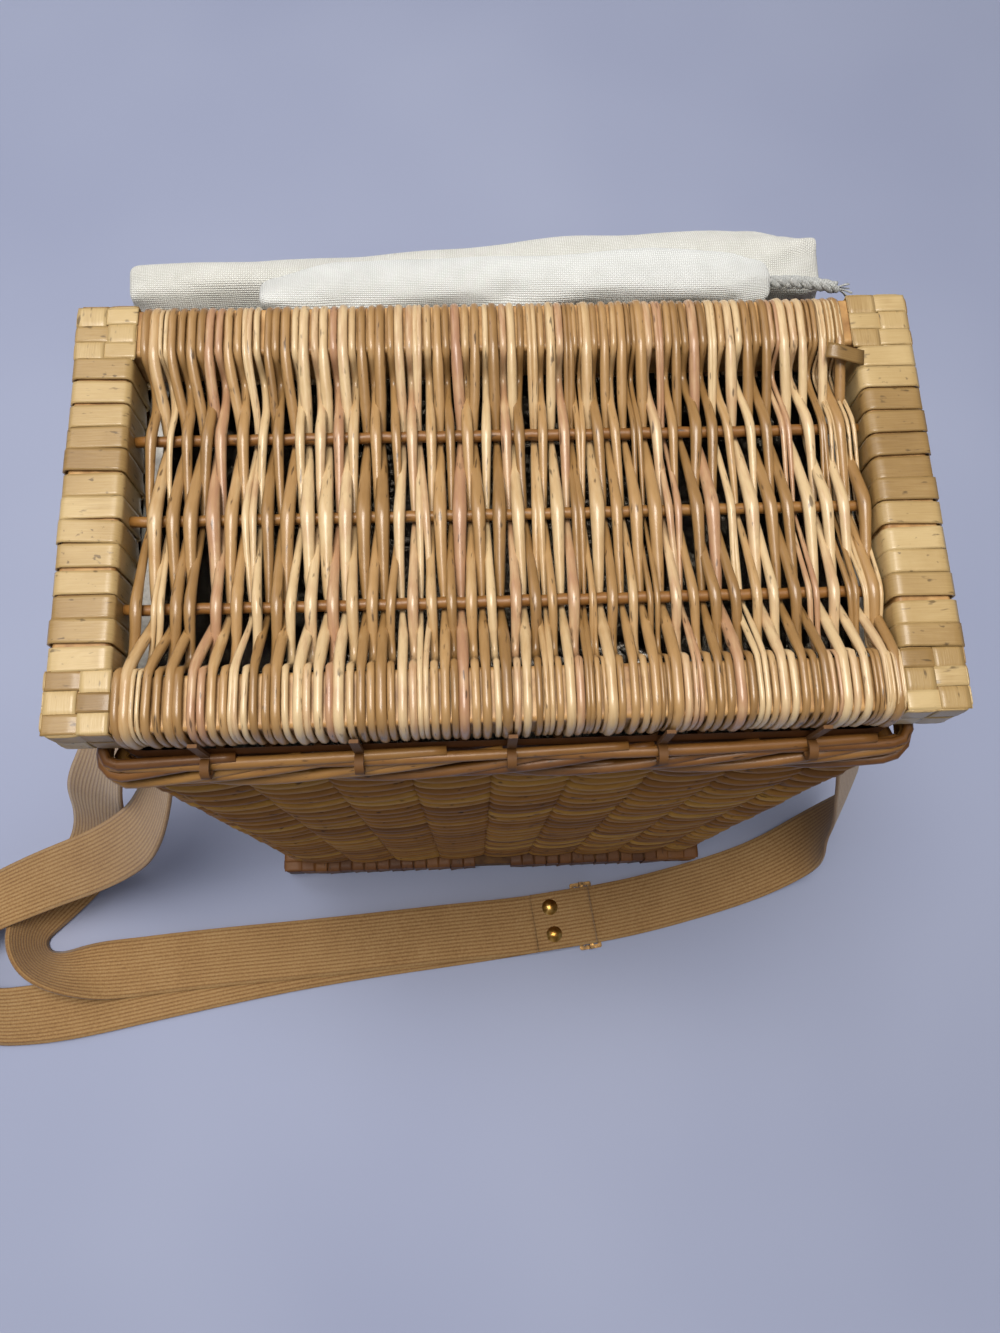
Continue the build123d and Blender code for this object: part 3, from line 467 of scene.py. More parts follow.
def rod_route(over, rail, tucks):
    """Corners (y, z) of a rod's way. A rod that starts over drops down the inner faces of the battens."""
    if over:
        drop = [(56.2, rail), (54.9, rail - 3.5), (52.4, 398.5), (48.5, 397.2)]
    else:
        drop = [(57.6, rail), (55.2, rail - 0.9)]
    signs = (1, -1, 1) if over else (-1, 1, -1)
    weave = []
    for y, side in zip(cross_y, signs):
        z = cross_z + side * weave_step
        weave += [(y + 3.2, z), (y, z + 0.35 * side), (y - 3.2, z)]
    climb = [(-y, z) for y, z in reversed(drop)]
    back = [(58.5 + tucks[0], tuck_z), (wrap_y, tuck_z), (wrap_y, rail)]
    front = [(-wrap_y, rail), (-wrap_y, tuck_z), (-58.5 + tucks[1], tuck_z)]
    return np.array(back + drop + weave + climb + front), signs


def lid_rod(x0, over, seed, share=1.0):
    """One rod at X = x0, of radius size * (1 - pinch) under a cross rod and size * (1 + swell) over one."""
    r = np.random.default_rng(seed)
    size = share * (r.uniform(1.32, 1.62) if over else r.uniform(1.62, 2.05))
    tucks = (r.uniform(-2, 2), r.uniform(-2, 2))
    route, signs = rod_route(over, wrap_top - size * 0.9, tucks)
    p = spaced(soften(np.column_stack([np.zeros(len(route)), route]), 3, 0.22), 96)
    y = p[:, 1]
    # The rods lean outwards at the right and inwards at the far left, and each one sways a little
    inside = np.clip((window_y - np.abs(y)) / 20, 0, 1)
    lean = np.clip((x0 - 24) / 70, 0, 1) * 3.6 - np.clip((-90 - x0) / 40, 0, 1) * 1.5
    sway = r.normal(0, 0.5) * np.sin(y / 31 + r.uniform(0, 6))
    sway = sway + r.normal(0, 0.3) * np.sin(y / 15 + r.uniform(0, 6))
    p[:, 0] = x0 - lean * (y / window_y).clip(-1, 1) * 0.8 + sway * (0.35 + inside) + r.normal(0, 0.14)
    p[:, 0] += np.clip((-40 - x0) / 80, 0, 1) * 2.7 * ease(np.clip((window_y - np.abs(y)) / 23, 0, 1))
    p[:, 0] = np.clip(p[:, 0], -window_x + size, window_x - size)
    p[:, 2] += inside * r.normal(0, 0.16)
    radius = np.full(len(p), size)
    for middle, side in zip(cross_y, signs):
        if side < 0:
            radius *= 1 - pinch * np.exp(-(np.abs((y - middle) / pinch_reach) ** 1.6))
        else:
            radius *= 1 + swell * np.exp(-(((y - middle) / swell_reach) ** 2))
    # Thinner on the battens and at the tucked ends, a slow wave along, and on one rod in three a knot
    radius *= 1 - r.uniform(0.06, 0.26) * np.clip((np.abs(y) - 52) / 6, 0, 1)
    radius *= 1 - 0.16 * np.clip((389.5 - p[:, 2]) / 2, 0, 1)
    radius *= 1 + 0.035 * np.sin(np.linspace(0, 11, len(p)) + r.uniform(0, 6))
    knot = r.uniform(-60, 60)
    radius *= 1 + 0.12 * np.exp(-(((y - knot) / 1.6) ** 2)) * (r.uniform() < 0.35)
    return tube(p, radius, 9, r.uniform(0.82, 0.95))


# %% All rods of the lid
rod_count = 76
paired_share, paired_size, paired_apart = 0.12, 0.6, 0.85
for over, name in ((True, "lid_rods_over"), (False, "lid_rods_under")):
    pieces, tints = [], []
    for i in range(0 if over else 1, rod_count, 2):
        x0 = (i - (rod_count - 1) / 2) * rod_pitch
        tone = rng.uniform(0.05, 0.95)
        if rng.uniform() < paired_share:
            pieces.append(lid_rod(x0 - paired_apart, over, 100 + i, paired_size))
            pieces.append(lid_rod(x0 + paired_apart, over, 300 + i, paired_size))
            tints += [tone, tone + 0.05]
        else:
            pieces.append(lid_rod(x0, over, 100 + i))
            tints.append(tone)
    if over:
        # Six thin rods fill the last gap at the right
        pieces += [lid_rod(115.2 + 1.5 * k, over, 500 + k, 0.4) for k in range(6)]
        tints += [0.6] * 6
    place(gather(name + "_willow", pieces, tints), willow_rods, "lid", "willow", name)

# The three cross rods, 2 mm in radius, run a little crooked between the short battens
cross_half = 124.6
pieces = []
for y in cross_y:
    xs = np.linspace(-cross_half, cross_half, 60)
    wave = 0.22 * np.sin(xs / rod_pitch * np.pi / 2 + y) + 0.2 * np.sin(xs / 60 + y)
    line = np.column_stack([xs, y + wave, cross_z + 0.15 * np.cos(xs / 40 + y)])
    pieces.append(tube(line, 2.0 - 0.15 * np.abs(xs / cross_half), 12, 1.0, (0, 0, 1)))
cross_rods = gather("lid_cross_rods_willow", pieces, [0.45, 0.6, 0.5])
place(cross_rods, willow_border, "lid", "willow", "lid_cross_rods")


# %% [markdown]
# ## Skein windings
# The short battens of the lid and all those of the base are wound with one or two long skeins. On top
# a skein lies square across the batten, and underneath it steps on to the next turn. One flat strip
# along such a line makes a winding, and a tone that changes from turn to turn sets the turns apart. A
# screw thread would be simpler, but it would slant on top, where the real one doesn't.

# %% Windings
skein_width, skein_gap, skein_thick, skein_lift = 7.6, 0.5, 0.9, 0.65


def winding(axis, middle, length, seed, crown=0.14):
    """One band round a batten along X (axis 0) or Y (axis 1), square on top and stepping on underneath."""
    r = np.random.default_rng(seed)
    turns = int((length - skein_width) // (skein_width + skein_gap)) + 1
    step = (length - skein_width) / (turns - 1)
    half = batten / 2 + skein_lift
    line = []
    # Each turn strays a little in its place, its slant and how tight it lies
    for t in range(turns):
        y = -(length - skein_width) / 2 + t * step
        y += r.normal(0, 0.22) if 0 < t < turns - 1 else 0
        skew, slack = r.normal(0, 0.42), abs(r.normal(0, 0.24))
        a, b = half + slack, half + (slack if crown > 0.1 else 0)
        line += [(a, y - skew, -half), (a, y, b * 0.2), (a, y, b), (-a, y + skew, b), (-a, y + skew, -half)]
    p = spaced(soften(line, 3, 0.07), turns * 44)
    # The strip's width is at right angles to the way out of the batten and to the way the strip runs
    across = np.cross(p * np.array([1, 0, 1]), np.gradient(p, axis=0))
    across[np.linalg.norm(across, axis=1) < 1e-6] = (0, 1, 0)
    across *= np.sign(across[:, 1])[:, None] + (across[:, 1] == 0)[:, None]
    # On the underside the strip lies flat
    across[:, 2] *= np.clip((p[:, 2] + half) / 2, 0, 1)
    turn = np.linspace(0, turns, len(p))
    half_width = skein_width / 2 * (1.045 - 0.03 * (0.5 + 0.5 * np.sin(turn * 1.7 + seed)))
    p[:, 0] *= 1 + 0.012 * np.sin(turn * 2 * np.pi * 2)
    verts, faces, uv = band(p, across, half_width, skein_thick, crown, 8)
    if axis == 0:
        verts = verts[:, [1, 0, 2]] * np.array([1, -1, 1])
    return (verts + np.array(middle, float), faces, uv), turns


def wound(name, windings, material, body):
    """A winding node's bands. Each turn has a tone of its own, and the tone between turns is read off."""
    pieces, tints = [], []
    for i, (piece, turns) in enumerate(windings):
        tones = np.random.default_rng(50 + i + len(name)).uniform(0.1, 0.95, turns + 2)
        count = len(piece[0])
        tints.append(np.interp(np.arange(count) / count * turns, np.arange(turns + 2), tones))
        pieces.append(piece)
    return place(gather(name + "_band", pieces, tints), material, body, "skein", name)


lid_middle, base_middle = (batten_low + batten_high) / 2, (base_low + base_high) / 2
lid_wound, base_wound_side, base_wound_half = 109.8, 131.8, 107.7
for side, word in ((-1, "left"), (1, "right")):
    middle = (side * (lid_outer_x + lid_inner_x) / 2, 0, lid_middle)
    wound(f"lid_skein_{word}", [winding(1, middle, lid_wound, 5 + side)], willow_skein, "lid")
    middle = (side * (base_outer_x + base_inner_x) / 2, 0, base_middle)
    wound(f"base_skein_{word}", [winding(1, middle, base_wound_side, 9 + side, 0.02)], willow_base, "basket")
for side, word in ((-1, "front"), (1, "back")):
    parts = []
    for end in (-1, 1):
        middle = (end * 66.0, side * (base_outer_y + base_inner_y) / 2, base_middle)
        parts.append(winding(0, middle, base_wound_half, 20 + side + 3 * end, 0.02))
    wound(f"base_skein_{word}", parts, willow_base, "basket")


# %% [markdown]
# ## Corner plaits
# Where two battens meet, the nails are hidden under a small plait of skeins: a few strips one way,
# woven through a few strips the other way, on the top and round both outer faces. The lift of a strip
# is a wave that is pushed flat, with the strips of the other way at its hollows, so that they pass
# over and under each other without touching.

# %% Plaits
plait_reach, plait_proud, plait_lift = 20.0, 0.55, 0.34


def plaited_face(corner, first, second, counts, size, seed):
    """Strips over and under on a square face, counts[0] of them across first and counts[1] across second."""
    r = np.random.default_rng(seed)
    first, second = np.array(first, float), np.array(second, float)
    out = np.cross(first, second)
    pieces, tints = [], []
    s = np.linspace(0, size, 34)
    for direction in (0, 1):
        a, b = (first, second) if direction == 0 else (second, first)
        n, crossed = counts[1 - direction], counts[direction]
        w = size / n
        for i in range(n):
            phase = np.cos((s * crossed / size - 0.5) * np.pi) * (1 if (i + direction) % 2 else -1)
            lift = plait_lift * np.tanh(phase * 2.4)
            middle = (i + 0.5) * w + r.normal(0, 0.2)
            line = np.array(corner) + a * s[:, None] + b * middle + out * lift[:, None]
            pieces.append(band(line, b if direction else -b, w * r.uniform(0.455, 0.485), 0.5, 0.22, 6))
            tints.append(r.uniform(0.05, 1))
    return pieces, tints


def corner_plait(name, sx, sy, outer_x, outer_y, low, high, body, material):
    """A woven cap over one corner of a frame: top, underside and two outer faces."""
    x, y = sx * (outer_x - plait_reach), sy * (outer_y - plait_reach)
    cap, side = plait_reach + 0.5, plait_reach - 0.9
    faces = [
        ((x, y, high + plait_proud), (sx, 0, 0), (0, sy, 0), (2, 3), cap),
        ((x, y, low - plait_proud), (sx, 0, 0), (0, sy, 0), (2, 3), cap),
        ((sx * (outer_x + plait_proud), y, low - 0.3), (0, sy, 0), (0, 0, 1), (3, 2), side),
        ((x, sy * (outer_y + plait_proud), low - 0.3), (sx, 0, 0), (0, 0, 1), (2, 2), side),
    ]
    pieces, tints = [], []
    for k, face in enumerate(faces):
        p, t = plaited_face(*face, 7 * k + int(3 * sx + sy) + len(name))
        pieces += p
        tints += t
    return place(gather(name + "_skeins", pieces, tints), material, body, "skein", name)


for sx, across_word in ((-1, "left"), (1, "right")):
    for sy, along_word in ((-1, "front"), (1, "back")):
        place_word = f"{along_word}_{across_word}"
        lid_corner = (sx, sy, lid_outer_x, lid_outer_y, batten_low, batten_high)
        corner_plait("lid_plait_" + place_word, *lid_corner, "lid", willow_skein)
        base_corner = (sx, sy, base_outer_x, base_outer_y, base_low, base_high)
        corner_plait("base_plait_" + place_word, *base_corner, "basket", willow_base)

# One skein has worked loose beside the far right corner
line = soften([(126.5, 50, 409.2), (121, 50.5, 410.6), (116.5, 51.5, 411.6), (113.5, 52.5, 410.6)], 2)
loose_end = gather("loose_skein_end", [band(line, (0, 1, 0.15), 2.6, 0.8, 0.2)], [0.02])
place(loose_end, willow_skein, "lid", "skein")

# %% [markdown]
# ## Body weave
# The wall is woven with lengths of willow that bow out between the stakes and come back in to them.
# The bows all turn at the same places, so the rows make waves whose cusps stand above each other, and
# that is what the eye sees of the wall. Each length is a tube on a line round the wall, measured by
# the distance round it, with a bow added outwards and downwards. A dark closed core behind the rows
# keeps light from shining through, as the stakes and the liner do on the real one.
# The core's dark colour is painted shade, seen as dark lines in the gaps between the rows.

# %% A line round the wall
def rim_line(s, grow=0.0, corner=wall_corner):
    """Point and outward direction at distance s round the wall, and the whole way round.

    The way is a rounded rectangle that starts at the middle of the front: straight runs start + f * way,
    and quarter circles centre + corner * (cos, sin) between them, with f the distance into each part.
    """
    x, y, r = wall_x + grow, wall_y + grow, corner
    quarter, long_side, short_side = np.pi * r / 2, 2 * (x - r), 2 * (y - r)
    runs = np.array([x - r, quarter, short_side, quarter, long_side, quarter, short_side, quarter, x - r])
    ends = np.concatenate([[0], np.cumsum(runs)])
    s = np.mod(s, ends[-1])
    part = np.clip(np.searchsorted(ends, s, side="right") - 1, 0, 8)
    f = s - ends[part]
    p, d = np.zeros((len(s), 2)), np.zeros((len(s), 2))
    straight = {
        0: ((0, -y), (1, 0)),
        2: ((x, -(y - r)), (0, 1)),
        4: ((x - r, y), (-1, 0)),
        6: ((-x, y - r), (0, -1)),
        8: ((-(x - r), -y), (1, 0)),
    }
    turns = {
        1: ((x - r, -(y - r)), -90),
        3: ((x - r, y - r), 0),
        5: ((-(x - r), y - r), 90),
        7: ((-(x - r), -(y - r)), 180),
    }
    for i, (start, way) in straight.items():
        m = part == i
        p[m] = np.array(start) + f[m, None] * np.array(way)
        d[m] = (way[1], -way[0])
    for i, (centre, angle) in turns.items():
        m = part == i
        a = np.radians(angle) + f[m] / r
        d[m] = np.column_stack([np.cos(a), np.sin(a)])
        p[m] = np.array(centre) + r * d[m]
    return p, d, ends[-1]


def hashed(a, b, seed):
    """A repeatable value from 0 to 1 for whole numbers a and b: the far decimals of a large sine."""
    v = np.sin(a * 127.1 + b * 311.7 + seed * 74.7) * 43758.5453
    return v - np.floor(v)


# %% Rows of weavers
row_corner = 8.0
_, _, around = rim_line(np.zeros(1), 0.0, row_corner)
columns = 28
span = around / columns
row_pitch = 6.5
row_count = int((wall_high - 14 - wall_low) / row_pitch)
print("rows", row_count, "of", columns, "bows,", round(float(span), 1), "mm each")


def weavers(name, first, last, seed):
    """Bowed lengths of weaver in front of the stakes: bow = (4 u (1 - u)) ** 0.85, with u = t ** 0.72."""
    r = np.random.default_rng(seed)
    pieces, tints = [], []
    t = np.linspace(0, 1, 13)
    skew = t**0.72
    bow = (4 * skew * (1 - skew)) ** 0.85
    for k in range(row_count):
        thick = 3.15 if k % 2 else 2.75
        for c in range(first, last):
            # Each cusp has a height and a depth of its own, shared by the two lengths that meet there
            ends = np.array([c, (c + 1) % columns])
            rise = 1.3 * (hashed(ends, k, 11) - 0.5)
            depth = 0.5 * (hashed(ends, k, 12) - 0.5)
            q, e, _ = rim_line(-5.5 + (c + t) * span, 0.0, row_corner)
            end_wall = np.abs(q[:, 0]) > wall_x - 0.1
            # Every second row stands further out, and the rows of the end walls lie deeper
            out = -2.5 + np.where(end_wall, -1.3, 0) + (0.7 if k % 2 else -0.4)
            out = out + depth[0] + (depth[1] - depth[0]) * t + bow * (1.9 + r.normal(0, 0.15))
            out = np.minimum(out, np.where(end_wall, 0.9 - thick, 1.2))
            z = wall_low + 3.0 + k * row_pitch + rise[0] + (rise[1] - rise[0]) * t
            z = z - bow * r.uniform(0.2, 0.9)
            radius = thick * (0.8 + 0.2 * bow) * r.uniform(0.95, 1.03)
            pieces.append(tube(np.column_stack([q + e * out[:, None], z]), radius, 7, 0.92, (0, 0, 1)))
            tints.append(np.clip(0.3 + 0.36 * hashed(c // 2, k, 13) + 0.1 * r.normal(), 0, 1))
    return place(gather(name, pieces, tints), willow_wall, "basket", "willow")


# %% Core, rows and cut tips
around_points = 160
ss = np.linspace(0, rim_line(np.zeros(1))[2], around_points, endpoint=False)
p, d, _ = rim_line(ss)
# The core's section in (depth behind the wall, height), lower at the far side where the canvas passes over
rim_z = np.where((p[:, 1] > 70) & (np.abs(p[:, 0]) < 120), 385.0, 386.3)
section = ((1.9, wall_low), (1.9, wall_high - 12), (2.4, rim_z - 3), (3.8, rim_z), (3.8, wall_low))
rings = [np.column_stack([p - d * depth, np.broadcast_to(z, around_points)]) for depth, z in section]
faces = grid_quads(len(section), around_points, loop=True)
uv = np.tile(np.column_stack([ss, np.zeros(around_points)]), (len(section), 1)) * mm
# A low tone, so that the core shows as painted shade between the rows
tint = np.full(len(section) * around_points, 0.1)
core = build_mesh("body_weave_core", np.vstack(rings), faces, tint, uv, False)
place(core, willow_base, "basket", "willow", "body_weave")
weavers("body_weavers_right", 0, columns // 2, 41)
weavers("body_weavers_left", columns // 2, columns, 42)

# A few cut tips of weavers stick out along the two front corners
pieces, tints = [], []
for corner_x in (-1, 1):
    for i in range(10):
        z = 24 + i * 34 + rng.uniform(-12, 12)
        x = corner_x * (wall_x - 6 + rng.uniform(-2, 2))
        y = -wall_y + rng.uniform(0.4, 1.2)
        line = [(x - corner_x * 8, y - 0.6, z - 1), (x, y - 1.0, z), (x + corner_x * 3, y + 0.8, z + 0.6)]
        pieces.append(tube(spaced(soften(line, 2), 7), 1.2, 7, 0.8, (0, 0, 1)))
        tints.append(rng.uniform(0.5, 0.8))
place(gather("weaver_tips", pieces, tints), willow_border, "basket", "willow")


# %% [markdown]
# ## Border
# A border ends the wall: each stake is bent down and laid along the rim over its neighbours. From
# outside it shows as rods that start in a cut tip low on the wall, climb as they run along, and end
# under the lid. Each round of the border is drawn as many such rods, one step apart round the rim.

# %% Border rods
border_rod = 2.25


def border(name, rods, reach, low, high, lean, turn, seed):
    """Rods that climb from low to high over the distance reach, and swing out from lean[0] to lean[1]."""
    r = np.random.default_rng(seed)
    pieces, tints = [], []
    step = around / rods
    t = np.linspace(0, 1, 26)
    for i in range(rods):
        s = (i + turn) * step + t * reach + r.uniform(-3, 3)
        q, e, _ = rim_line(s, 1.5, 6.5)
        end_wall = np.abs(q[:, 0]) > wall_x - 0.1
        arch = np.sin(np.pi * (0.2 + 0.85 * t)).clip(-0.3, 1)
        out = lean[0] + (lean[1] - lean[0]) * arch + r.normal(0, 0.15)
        z = low + (high - low) * (0.25 * t + 0.75 * ease(t)) + 0.25 * np.sin(t * 7 + i * 2)
        # On the end walls the rods stay above the strap's metal loops
        z = np.where(end_wall, np.maximum(z, 371), z)
        # The tip is cut at an angle, and the rod thins towards its end
        radius = border_rod * np.clip(0.62 + 3 * t, 0, 1) * (1 - 0.22 * t**2) * r.uniform(0.92, 1.06)
        pieces.append(tube(np.column_stack([q + e * out[:, None], z]), radius, 10, 0.94, (0, 0, 1)))
        tints.append(r.uniform(0.1, 0.8))
    return place(gather(name + "_rods", pieces, tints), willow_border, "basket", "willow", name)


border("border_rod_top", rods=13, reach=120, low=381.0, high=384.4, lean=(-2.2, -0.8), turn=0.0, seed=31)
border("border_rod_middle", rods=18, reach=84, low=370.0, high=382.4, lean=(-1.9, 1.8), turn=0.5, seed=32)
border("border_rod_bottom", rods=18, reach=84, low=365.0, high=381.5, lean=(-1.9, 2.4), turn=0.0, seed=33)


# %% [markdown]
# ## Liner
# Inside the wicker sits a bag that keeps food cool: canvas outside, foam, and silvery film inside.
# Canvas and film are thin, so each is an open box drawn as one surface of rings, and the Solidify
# modifier gives it its thickness. The film is crumpled by a few slow sines that die out at the rim,
# and its fine facets are left to the finish. The foam shows only at its rim and stays the CAD node.

# %% Open boxes
def rounded_loop(x, y, r, side_points=34):
    """Points and outward directions round a rounded rectangle: quarter circles joined by straight sides."""
    corners, aims = [], []
    for sx, sy, start in ((1, -1, -90), (1, 1, 0), (-1, 1, 90), (-1, -1, 180)):
        a = np.radians(np.linspace(start, start + 90, 9))
        aim = np.column_stack([np.cos(a), np.sin(a)])
        corners.append(np.array([sx * (x - r), sy * (y - r)]) + r * aim)
        aims.append(aim)
    points, outward = [], []
    for k in range(4):
        a, b = corners[k][-1], corners[(k + 1) % 4][0]
        t = np.linspace(0, 1, side_points + 2)[1:-1, None]
        points += [corners[k], a * (1 - t) + b * t]
        outward += [aims[k], np.repeat(aims[k][-1:], side_points, 0)]
    return np.vstack(points), np.vstack(outward)


def open_box(name, x, y, r, low, high, thick, ripple, seed):
    """Rings from the rim down and in over the floor. Sines of x, y and z ripple the wall in and out."""
    g = np.random.default_rng(seed)
    p, d = rounded_loop(x, y, r)
    waves = g.uniform(0, 6.28, (5, 3))[:, 0]
    rings = []
    for z in np.linspace(high, low, 46):
        t = (high - z) / (high - low)
        h = 0
        for k, wave in enumerate(waves):
            h = h + np.sin(p[:, 0] / (17 + 6 * k) + p[:, 1] / (13 + 5 * k) + z / (19 + 9 * k) + wave)
        amount = -ripple * (0.5 + 0.2 * h) * np.sin(np.pi * np.clip(t, 0, 1)) ** 0.5
        rings.append(np.column_stack([p + d * amount[:, None], np.full(len(p), z)]))
    for shrink in (0.9, 0.6, 0.3, 0.02):
        wave = 0.4 * np.sin(p[:, 0] / 11 * shrink + p[:, 1] / 9)
        rings.append(np.column_stack([p * shrink, low + ripple * 0.3 * (0.4 + wave)]))
    verts = np.vstack(rings)
    # The rings go down, so the quads are turned to face outwards
    faces = np.roll(grid_quads(len(rings), len(p))[:, ::-1], 1, axis=1)
    uv = np.column_stack([np.tile(run_along(p), len(rings)), verts[:, 2]]) * mm
    obj = build_mesh(name, verts, faces, np.full(len(verts), 0.5), uv)
    solid = obj.modifiers.new("thickness", "SOLIDIFY")
    solid.thickness = thick * mm
    solid.offset = 1.0
    return obj


# %% Canvas, foil and foam
canvas_bag = open_box(
    "liner_canvas_cloth", x=125.7, y=71.7, r=19.8, low=24.7, high=383.5, thick=0.8, ripple=0.0, seed=1
)
place(canvas_bag, canvas_coarse, "basket", "canvas", "liner_canvas")
foil_bag = open_box(
    "liner_foil_sheet", x=120.3, y=66.3, r=14.4, low=30.2, high=383.3, thick=0.3, ripple=2.2, seed=2
)
place(foil_bag, foil, "basket", "foil", "liner_foil")

# %% [markdown]
# ## Canvas skirt
# The liner's canvas skirt is thrown out over the back rim, and its drawcord gathers it in two slack
# rolls. Modelled by hand such a roll looks like a pipe. So it starts as a loose tube with pleats, and a
# short cloth simulation with pressure inside puffs it up and lets the pleats find their own shape.


# %% Simulated cloth
def simulate(obj, pressure, limit, voxel, frames_run=20):
    """Remeshes a piece evenly, runs Blender's cloth with pressure, and keeps the moves, limit mm at most."""
    bpy.context.view_layer.objects.active = obj
    rebuilt = obj.modifiers.new("remesh", "REMESH")
    rebuilt.mode = "VOXEL"
    rebuilt.voxel_size = voxel * mm
    graph = bpy.context.evaluated_depsgraph_get()
    mesh = bpy.data.meshes.new_from_object(obj.evaluated_get(graph))
    obj.modifiers.clear()
    obj.data = mesh
    rest = np.empty(len(mesh.vertices) * 3)
    mesh.vertices.foreach_get("co", rest)
    cloth = obj.modifiers.new("cloth", "CLOTH")
    cloth.settings.use_pressure = True
    cloth.settings.uniform_pressure_force = pressure
    cloth.settings.effector_weights.gravity = 0.0
    cloth.settings.quality = 5
    cloth.point_cache.frame_end = frames_run
    scene = bpy.context.scene
    for f in range(1, frames_run + 1):
        scene.frame_set(f)
    graph = bpy.context.evaluated_depsgraph_get()
    result = bpy.data.meshes.new_from_object(obj.evaluated_get(graph))
    obj.modifiers.clear()
    moved = np.empty(len(result.vertices) * 3)
    result.vertices.foreach_get("co", moved)
    shift = (moved - rest).reshape(-1, 3)
    size = np.linalg.norm(shift, axis=1)
    shift *= np.minimum(1, limit * mm / np.maximum(size, 1e-9))[:, None]
    result.vertices.foreach_set("co", (rest.reshape(-1, 3) + shift).ravel())
    obj.data = result
    scene.frame_set(1)
    print(obj.name, "simulated, largest move", round(float(size.max()) * 1000, 1), "mm")


# %% One roll of canvas
def slack_roll(x0, x1, y, z, ry, rz, tip, marks, pleats, widths):
    """Rings along X of a slack roll: an ellipse ry by rz with creases, each a sine of x and the angle."""
    n, m = 150, 40
    xs = np.linspace(x0, x1, n)
    t = np.linspace(0, 1, n)
    grow = tip + (1 - tip) * np.clip(np.sin(np.pi * t) * 3.2, 0, 1) ** 0.6
    a = np.linspace(0, 2 * np.pi, m, endpoint=False)
    rings = []
    # The middle line sways and lifts, and near both ends, right and left, the pleats get deeper
    for x, s, k in zip(xs, grow, t):
        sway = 1.3 * np.sin(x / 37 + marks[0]) + 0.7 * np.sin(x / 15 + marks[1])
        lift = 0.9 * np.sin(x / 29 + marks[2])
        right = np.exp(-(((1 - k) / 0.085) ** 2))
        left = np.exp(-((k / 0.03) ** 2))
        crease = 0.03 * np.sin(x / 8.3 + 2 * a + marks[3]) + 0.03 * np.sin(x / 13.7 - 3 * a + marks[4])
        crease += (0.04 + 0.1 * right + 0.1 * left) * np.sin(pleats * a + x / 21 + marks[5])
        crease += right * 0.12 * np.sin(9 * a + x / 3.1 + marks[6])
        r = s * (0.95 + crease)
        wide = np.interp(x, *widths)
        away = 0.7 * (wide - ry)
        ring_y = y + away + sway * 0.6 + wide * r * np.cos(a)
        rings.append(np.column_stack([np.full(m, x), ring_y, z + lift + rz * r * np.sin(a)]))
    return np.vstack(rings), closed_faces(n, m)


def wrap_uv(mesh, y, z, radius):
    """UVs round a roll: metres along X, and the angle round (y, z) times radius. No face spans the seam."""
    co = np.empty(len(mesh.vertices) * 3)
    mesh.vertices.foreach_get("co", co)
    co = co.reshape(-1, 3) / mm
    index = np.empty(len(mesh.loops), np.int32)
    mesh.loops.foreach_get("vertex_index", index)
    angle = np.arctan2(co[:, 2] - z, co[:, 1] - y)[index]
    starts = np.empty(len(mesh.polygons), np.int32)
    totals = np.empty(len(mesh.polygons), np.int32)
    mesh.polygons.foreach_get("loop_start", starts)
    mesh.polygons.foreach_get("loop_total", totals)
    first = np.repeat(angle[starts], totals)
    angle = angle + 2 * np.pi * np.round((first - angle) / (2 * np.pi))
    uv = np.column_stack([co[index, 0], angle * radius]) * mm
    layer = mesh.uv_layers[0] if mesh.uv_layers else mesh.uv_layers.new(name="UVMap")
    layer.name = "UVMap"
    layer.data.foreach_set("uv", uv.astype(np.float32).ravel())


def canvas_fold(name, x0, x1, y, z, ry, rz, tip, seed, pleats, voxel, widths):
    """A gathered roll of canvas from x0 to x1, simulated as filled cloth and smoothed once."""
    marks = np.random.default_rng(seed).uniform(0, 6.28, 7)
    obj = build_mesh(name, *slack_roll(x0, x1, y, z, ry, rz, tip, marks, pleats, widths))
    simulate(obj, 2.5, 3.0, voxel)
    obj.data.polygons.foreach_set("use_smooth", np.ones(len(obj.data.polygons), bool))
    wrap_uv(obj.data, y, z, (ry + rz) / 2)
    smooth = obj.modifiers.new("smooth", "SUBSURF")
    smooth.levels = smooth.render_levels = 1
    return obj


# %% The two rolls
# widths gives the half width in Y at places along X: the rolls are full at the right and thin at the left
back_fold = canvas_fold(
    "skirt_fold_back_canvas", x0=-137, x1=126, y=106.2, z=378.2, ry=14.6, rz=12.5, tip=0.78, seed=3,
    pleats=5, voxel=2.6, widths=((-137, -90, -50, 0, 60, 126), (10.8, 10.4, 12.6, 15.6, 17.2, 17.6)),
)
place(back_fold, canvas_coarse, "basket", "canvas", "skirt_fold_back")
front_fold = canvas_fold(
    "skirt_fold_front_canvas", x0=-86, x1=103, y=93.2, z=392.9, ry=10.6, rz=6.0, tip=0.6, seed=4,
    pleats=4, voxel=2.0, widths=((-86, -60, 60, 103), (8.0, 12.2, 12.8, 11.0)),
)
place(front_fold, canvas_fine, "basket", "canvas", "skirt_fold_front")


# %% The flat skirt, its hem and the drawcord
def strip_sheet(name, profile, half_length, thick, wave):
    """A soft line of (y, z) points carried along X as a sheet, with a sine in z that grows outwards."""
    line = soften(np.array(profile, float), 2)
    line = spaced(np.column_stack([np.zeros(len(line)), line]), 26)[:, 1:]
    xs = np.linspace(-half_length, half_length, 120)
    rows = []
    for k, (y, z) in enumerate(line):
        out = k / (len(line) - 1)
        ripple = wave * out * np.sin(xs / 9 + k * 0.2) * 0.5
        rows.append(np.column_stack([xs, np.full(len(xs), y), z + ripple]))
    verts = np.vstack(rows)
    uv = np.column_stack([np.tile(xs, len(line)), np.repeat(run_along(line), len(xs))]) * mm
    obj = build_mesh(name, verts, grid_quads(len(line), len(xs), wrap=False), np.full(len(verts), 0.5), uv)
    solid = obj.modifiers.new("thickness", "SOLIDIFY")
    solid.thickness = thick * mm
    solid.offset = 0
    return obj


